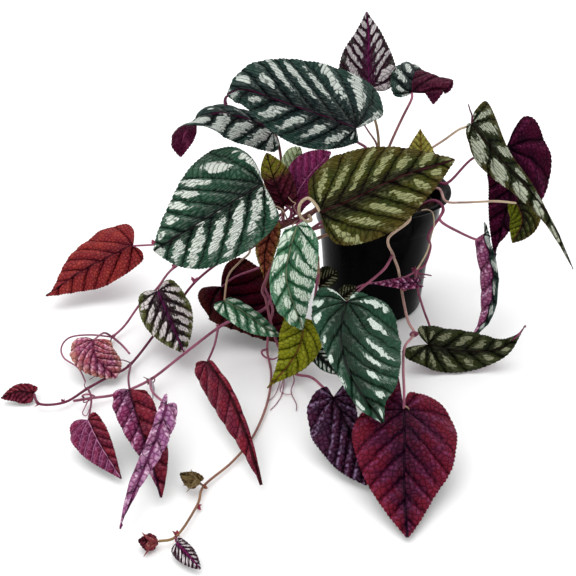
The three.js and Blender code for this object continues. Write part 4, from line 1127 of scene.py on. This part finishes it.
# %% Crumbs on the mix
CRUMBS, CRUMBS_REACH = 150, 50
SOIL_TOP, SOIL_DOME = 104, 0.0012
crumbs = []
random = np.random.default_rng(7)
for i in range(CRUMBS):
    far, angle = CRUMBS_REACH * math.sqrt(random.random()), random.random() * 2 * math.pi
    size = random.uniform(0.7, 2.3)
    height = SOIL_TOP - SOIL_DOME * far**2
    place = Vector((far * math.cos(angle), far * math.sin(angle), height)) * MM
    bpy.ops.mesh.primitive_ico_sphere_add(subdivisions=2, radius=size * MM, location=place)
    crumb = bpy.context.object
    stretch = random.uniform(0.6, 1.3, 3)
    for vertex in crumb.data.vertices:
        bend = 1 + 0.45 * noise.noise(vertex.co * 900 + Vector((i, 0, 0)))
        vertex.co = Vector((vertex.co[k] * stretch[k] * bend for k in range(3)))
    crumbs.append(crumb)
crumb_piece = join(crumbs, "mix_crumbs")
bpy.ops.object.transform_apply(location=True, rotation=True, scale=True)
bpy.ops.object.shade_smooth_by_angle(angle=math.radians(40))
print("crumbs", len(crumb_piece.data.polygons), "faces")

# %% Dark earth with pale grains
mix_finish, here, shader = new_finish("potting_mix", Specular_IOR_Level=0.1)
clump = here.spot().noise(240.0, 5.0)
own = here.node("TexVoronoi", {"Vector": here.spot(), "Scale": 260.0}, out=1).parts()[0]
earth = colour_mix(clump.ramp(0.35, 0.65), linear("#0f0906"), linear("#2a1c13"))
earth = colour_mix(own.ramp(0.9, 0.93) * 0.7, earth, linear("#8f8574"))
feed(shader, Base_Color=earth, Roughness=0.85 + clump * 0.1, Normal=bump(clump, 0.8, 1.2 * MM))
for piece in (soil, crumb_piece):
    piece.data.materials.append(mix_finish)
    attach(piece, "root")
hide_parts("soil")

# %% [markdown]
# ## Small growth
#
# The vine is never bare between its leaves. Where a stalk leaves the stem it keeps a dry or
# pink stipule and a stub, the tips end in crowded buds, thin roots hang from the joints, and
# tendrils curl up on themselves. All of it grows out of a stem, so every path starts inside
# the stem that carries it.

# %% Twigs
CURL_POINTS, CURL_END = 10, 0.8


def curl(centre, across, up, radius, turns):
    """Points of a curl in mm, which narrows as it turns in the plane of across and up."""
    angles = np.linspace(0, turns * 2 * math.pi, round(CURL_POINTS * turns))
    ring = np.outer(np.cos(angles), across) + np.outer(np.sin(angles), up)
    return np.array(centre) + ring * np.linspace(radius, radius * CURL_END, len(angles))[:, None]


def on_vine(vine, stem, share):
    """The place on the middle of a stem at a share of its points."""
    return curve(VINES[vine][stem][2], share)


# %% Where the twigs grow
# The vine, its stem and how far along it a twig starts. Then its radius in mm, its two colours
# and the points that it runs through, counted from that start in mm.
TWIGS = [
    ("vine_a", 0, 0.79, 0.7, "WW", [[4, -1, 3], [7, -2, 8]]),
    ("vine_a", 3, 0.03, 0.7, "WB", [[-1, -2, -3], [1, -9.5, -3.5]]),
    ("vine_b", 0, 0.64, 0.6, "PW", [[-3, -2, -0.5], [-5.5, -3, -4], [-7, -4, -2]]),
    ("vine_b", 0, 0.79, 0.5, "PW", [[-1, -1, 4], [0, 0, 8]]),
    ("vine_b", 0, 0.64, 0.5, "PP", [[-8, -2.5, 5], [-18, -4, 3], [-25, -14.5, 0],
     [-31.5, -24.5, 0]]),
    ("vine_c", 0, 0.75, 0.7, "PB", [[3, -1, 3.5], [4.5, -3, 2], [2, -4, -2]]),
    ("vine_c", 0, 0.75, 0.5, "BB", [[-3, -1, 2.5], [-5, -2, 4.5]]),
    ("vine_d", 0, 0.67, 0.5, "PP", [[3, -12.5, -6], [3.5, -27.5, -10], [2, -45, -11.5],
     [-2.5, -58, -12], [-7.5, -67, -12]]),
    ("vine_d", 0, 0.75, 0.5, "PW", [[1, -7, -4], [-1.5, -19, -6], [2.5, -34.5, -6.5],
     [2.5, -43.5, -7]]),
    ("vine_d", 0, 0.67, 0.45, "PP", [[4.5, -14, -7], [2, -33, -10], [0.5, -42.5, -11],
     [4.5, -47, -11], [9.5, -47, -11]]),
    ("vine_d", 0, 0.67, 0.45, "PP", [[2, -15.5, -8], [-0.5, -33, -11], [-4.5, -48.5, -11.5],
     [-10.5, -56.5, -12]]),
    ("vine_d", 1, 0.27, 1.1, "PP", [[-4.5, -6.5, 2], [-2.5, -10.5, -0.5], [4.5, -13.5, -1.5],
     [9.5, -11, -1]]),
    ("vine_f", 0, 0.63, 0.9, "WW", [[4, -1, -2.5], [9.5, -2, -3], [14, -2, -4]]),
    ("vine_f", 0, 0.63, 0.7, "PW", [[3.5, -2, -5], [8.5, -3, -5]]),
    ("vine_f", 0, 0.63, 0.8, "CC", [[4, -2, 10], [8.5, -2, 22], [10, -1, 33], [12, -1, 44.5],
     [10, -2, 56], [5.5, -2, 59.5], [0, -1, 58.5]]),
    ("stem_left", 1, 0.03, 0.45, "PC", [[-5, -18, 19], [-3.5, -19, 23], [-6, -19, 24],
     [-10, -19, 28.5]]),
    ("stem_left", 2, 0.03, 0.7, "PC", [[-3.5, -10, 13.5], [-6.5, -11, 17.5], [-10.5, -12, 20]]),
    ("stem_left", 1, 0.03, 0.7, "WW", [[-7.5, -10, 7.5], [-6.5, -12, 15.5], [-2, -13, 17.5],
     [0, -13, 15]]),
    ("stem_left", 1, 0.03, 0.8, "PC", [[-6, -18, 3], [-3.5, -26, 0.5]]),
    ("stem_left", 6, 0, 0.6, "PP", [[3, -6, 9], [1.5, -7, 11], [0.5, -8, 8], [3.5, -7, 5]]),
    ("vine_c", 0, 0.93, 0.7, "PP", curl([0, -1.5, 3], [1, 0, 0], [0, -0.5, 0.85], 5, 1.6)),
    ("vine_c", 0, 0.93, 0.6, "PW", curl([-1, -2, 0], [0.8, 0.6, 0], [0.3, -0.4, 0.85], 3.6, 1.3)),
    ("vine_c", 0, 0.93, 0.5, "PP", [[-2, -9.5, -2.5], [-3, -13.5, -4.5], [0.5, -15.5, -5],
     [2, -9.5, -2.5]]),
    ("vine_e", 0, 0.7, 1.1, "WP", curl([0, -1.5, 1], [1, 0, 0], [0, -0.3, 0.95], 3, 1.1)),
    ("vine_e", 0, 0.98, 0.8, "TT", [[3, -1, -1.5], [4, -2, -4.5]]),
    ("stem_crown", 5, 1, 0.9, "WD", [[-0.5, -1, 7.5], [-3, -2, 13], [-5, -2, 18.5]]),
    ("stem_crown", 2, 0.25, 1.1, "TP", [[-3.5, -1, 9], [-9.5, -3, 18], [-14.5, -5, 26]]),
]

# %% The twigs, and a nub at the tip of the first leaf
pieces = []
for i, (vine, stem, share, radius, colours, steps) in enumerate(TWIGS):
    start = on_vine(vine, stem, share)
    path = start + np.vstack([[0, 0, 0], steps])
    pieces.append(tube(f"twig_{i}", path, radius, colours, step=0.8, ends=(1.0, 0.6)))
# The tip of the first leaf ends in a small dark nub that hangs down.
tip = np.array(LEAVES["leaf_01"]["rib"][-1], float)
nub = tip + np.array([[2, 0, 0], [-1, -1, -1], [-2, -1, -4], [-1.5, -1, -8]])
pieces.append(tube("leaf_01_nub", nub, 1.7, "DD", step=0.5, ends=(0.4, 1.0)))
twigs = join(pieces, "twigs_and_tendrils")
twigs.data.materials.append(stem_finish)
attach(twigs, "root")
print("twigs", len(twigs.data.polygons), "faces")


# %% Scales: buds and stipules are small cupped scales round a point
SCALE_CURL, SCALE_CUP = 0.25, 0.35
GOLDEN_TURN = 2.4


def scale(name, root, aim, face, length, width):
    """One pointed scale from root along aim, in mm. It is cupped and bends towards face."""
    aim = unit(aim)
    face = unit(face - aim * (face @ aim))
    side = np.cross(face, aim)
    t = np.linspace(0, 1, 9)
    v = np.linspace(-1, 1, 7)
    wide = width * np.sin(math.pi * np.clip(t * 0.85 + 0.15, 0, 1)) ** 0.8
    points = root + (t * length)[:, None, None] * aim
    points = points + (wide[:, None] * v[None, :])[..., None] * side
    lift = SCALE_CURL * length * t[:, None] ** 2 - SCALE_CUP * wide[:, None] * v[None, :] ** 2
    return grid_piece(name, points + lift[..., None] * face)


def bud(name, root, aim, length, width, count, spread):
    """Scales that stand round aim and open towards their tips."""
    aim = unit(np.array(aim, float))
    one = unit(np.cross(aim, [0.2, 0.3, 0.9]))
    two = np.cross(aim, one)
    scales = []
    for i in range(count):
        turn = i * GOLDEN_TURN
        out = math.cos(turn) * one + math.sin(turn) * two
        long = length * (1 - 0.35 * (i / count))
        lean = aim + out * spread * (0.5 + 0.5 * (i % 3) / 2)
        base = root + out * width * 0.3 - aim * 0.4
        scales.append(scale(f"{name}_{i}", base, lean, out, long, width * (0.6 if i % 2 else 1)))
    return scales


bud_finish, here, shader = new_finish("bud_scale", Specular_IOR_Level=0.1)
streak = here.spot().noise(600.0, 3.0)
blotch = here.spot().noise(160.0, 2.0)
pale = colour_mix(streak.ramp(0.5, 0.72) * 0.5, here.stored("stem_ink"), linear("#b8907c"))
feed(
    shader,
    Base_Color=colour_mix(blotch.ramp(0.45, 0.7) * 0.5, pale, linear("#2a1014")),
    Roughness=0.5 + streak * 0.2,
    Normal=bump(streak, 0.6, 0.3 * MM),
)

# %% Every bud
# A colour, the place on a stem, the way the bud points, its length and width in mm, the
# number of scales and how far they open.
BUDS = [
    ("#6a5a34", "vine_d", 2, 1, [-0.9, -0.3, 0.4], 13, 2.6, 7, 0.5),
    ("#7a2c34", "vine_d", 1, 1, [-1, -0.3, -0], 13, 3.2, 7, 0.45),
    ("#8c3048", "vine_d", 1, 0.82, [0.5, 0, -0.9], 4, 1.2, 3, 0.6),
    ("#94384c", "vine_d", 1, 0.91, [0.2, 0, 1], 5, 1.2, 3, 0.7),
    ("#7c4030", "vine_d", 1, 0.73, [1, -0, -0.1], 4, 1.2, 3, 0.6),
    ("#b0507c", "vine_b", 0, 0.43, [-0.1, 0, 1], 6, 1.6, 5, 0.6),
    ("#6c2038", "vine_b", 0, 0.93, [-1, 0, 0.2], 5, 1.2, 3, 0.5),
    ("#7c2c44", "vine_b", 0, 0.86, [-0.8, 0, 0.7], 4, 1.2, 3, 0.6),
    ("#8c4058", "vine_a", 0, 0.79, [0.7, -0, -0.8], 4, 1.2, 3, 0.6),
    ("#7c4c3c", "vine_c", 0, 0.75, [-0.6, 0, -0.8], 5, 1.5, 4, 0.8),
    ("#a8587c", "stem_left", 0, 0.97, [-0.7, -0, 0.7], 7, 1.6, 5, 0.6),
    ("#7c3040", "stem_left", 1, 0.03, [0.6, -0, 0.8], 6, 1.6, 5, 0.7),
    ("#9c4c64", "vine_e", 0, 0.54, [0.8, 0, 0.7], 5, 1.3, 4, 0.5),
    ("#8c3c58", "vine_f", 0, 0.63, [-0.8, 0, 0.5], 5, 1.2, 4, 0.6),
    ("#8c4058", "vine_a", 0, 0.6, [-0.7, 0, 0.7], 4, 1.2, 3, 0.6),
    ("#8c4058", "vine_c", 0, 0.58, [-0.9, 0, 0.4], 4, 1.2, 3, 0.6),
    ("#94405c", "vine_h", 0, 0.88, [-0.4, 0, 0.9], 6, 1.6, 5, 0.7),
    ("#b8b4bc", "vine_c", 0, 0.75, [0.5, -0.9, -0.2], 27, 3, 1, 0.1),
]
pieces = []
for n, (colour, vine, stem, share, *shape) in enumerate(BUDS):
    for piece in bud(f"bud_{n}", on_vine(vine, stem, share), *shape):
        give(piece, "stem_ink", np.tile(linear(colour)[:3], (len(piece.data.vertices), 1)))
        pieces.append(piece)
buds = join(pieces, "buds_and_stipules")
solid = buds.modifiers.new("thickness", "SOLIDIFY")
solid.thickness = 0.3 * MM
apply_modifiers(buds)
buds.data.materials.append(bud_finish)
bpy.ops.object.shade_smooth_by_angle(angle=math.radians(50))
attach(buds, "root")
print("buds", len(buds.data.polygons), "faces")
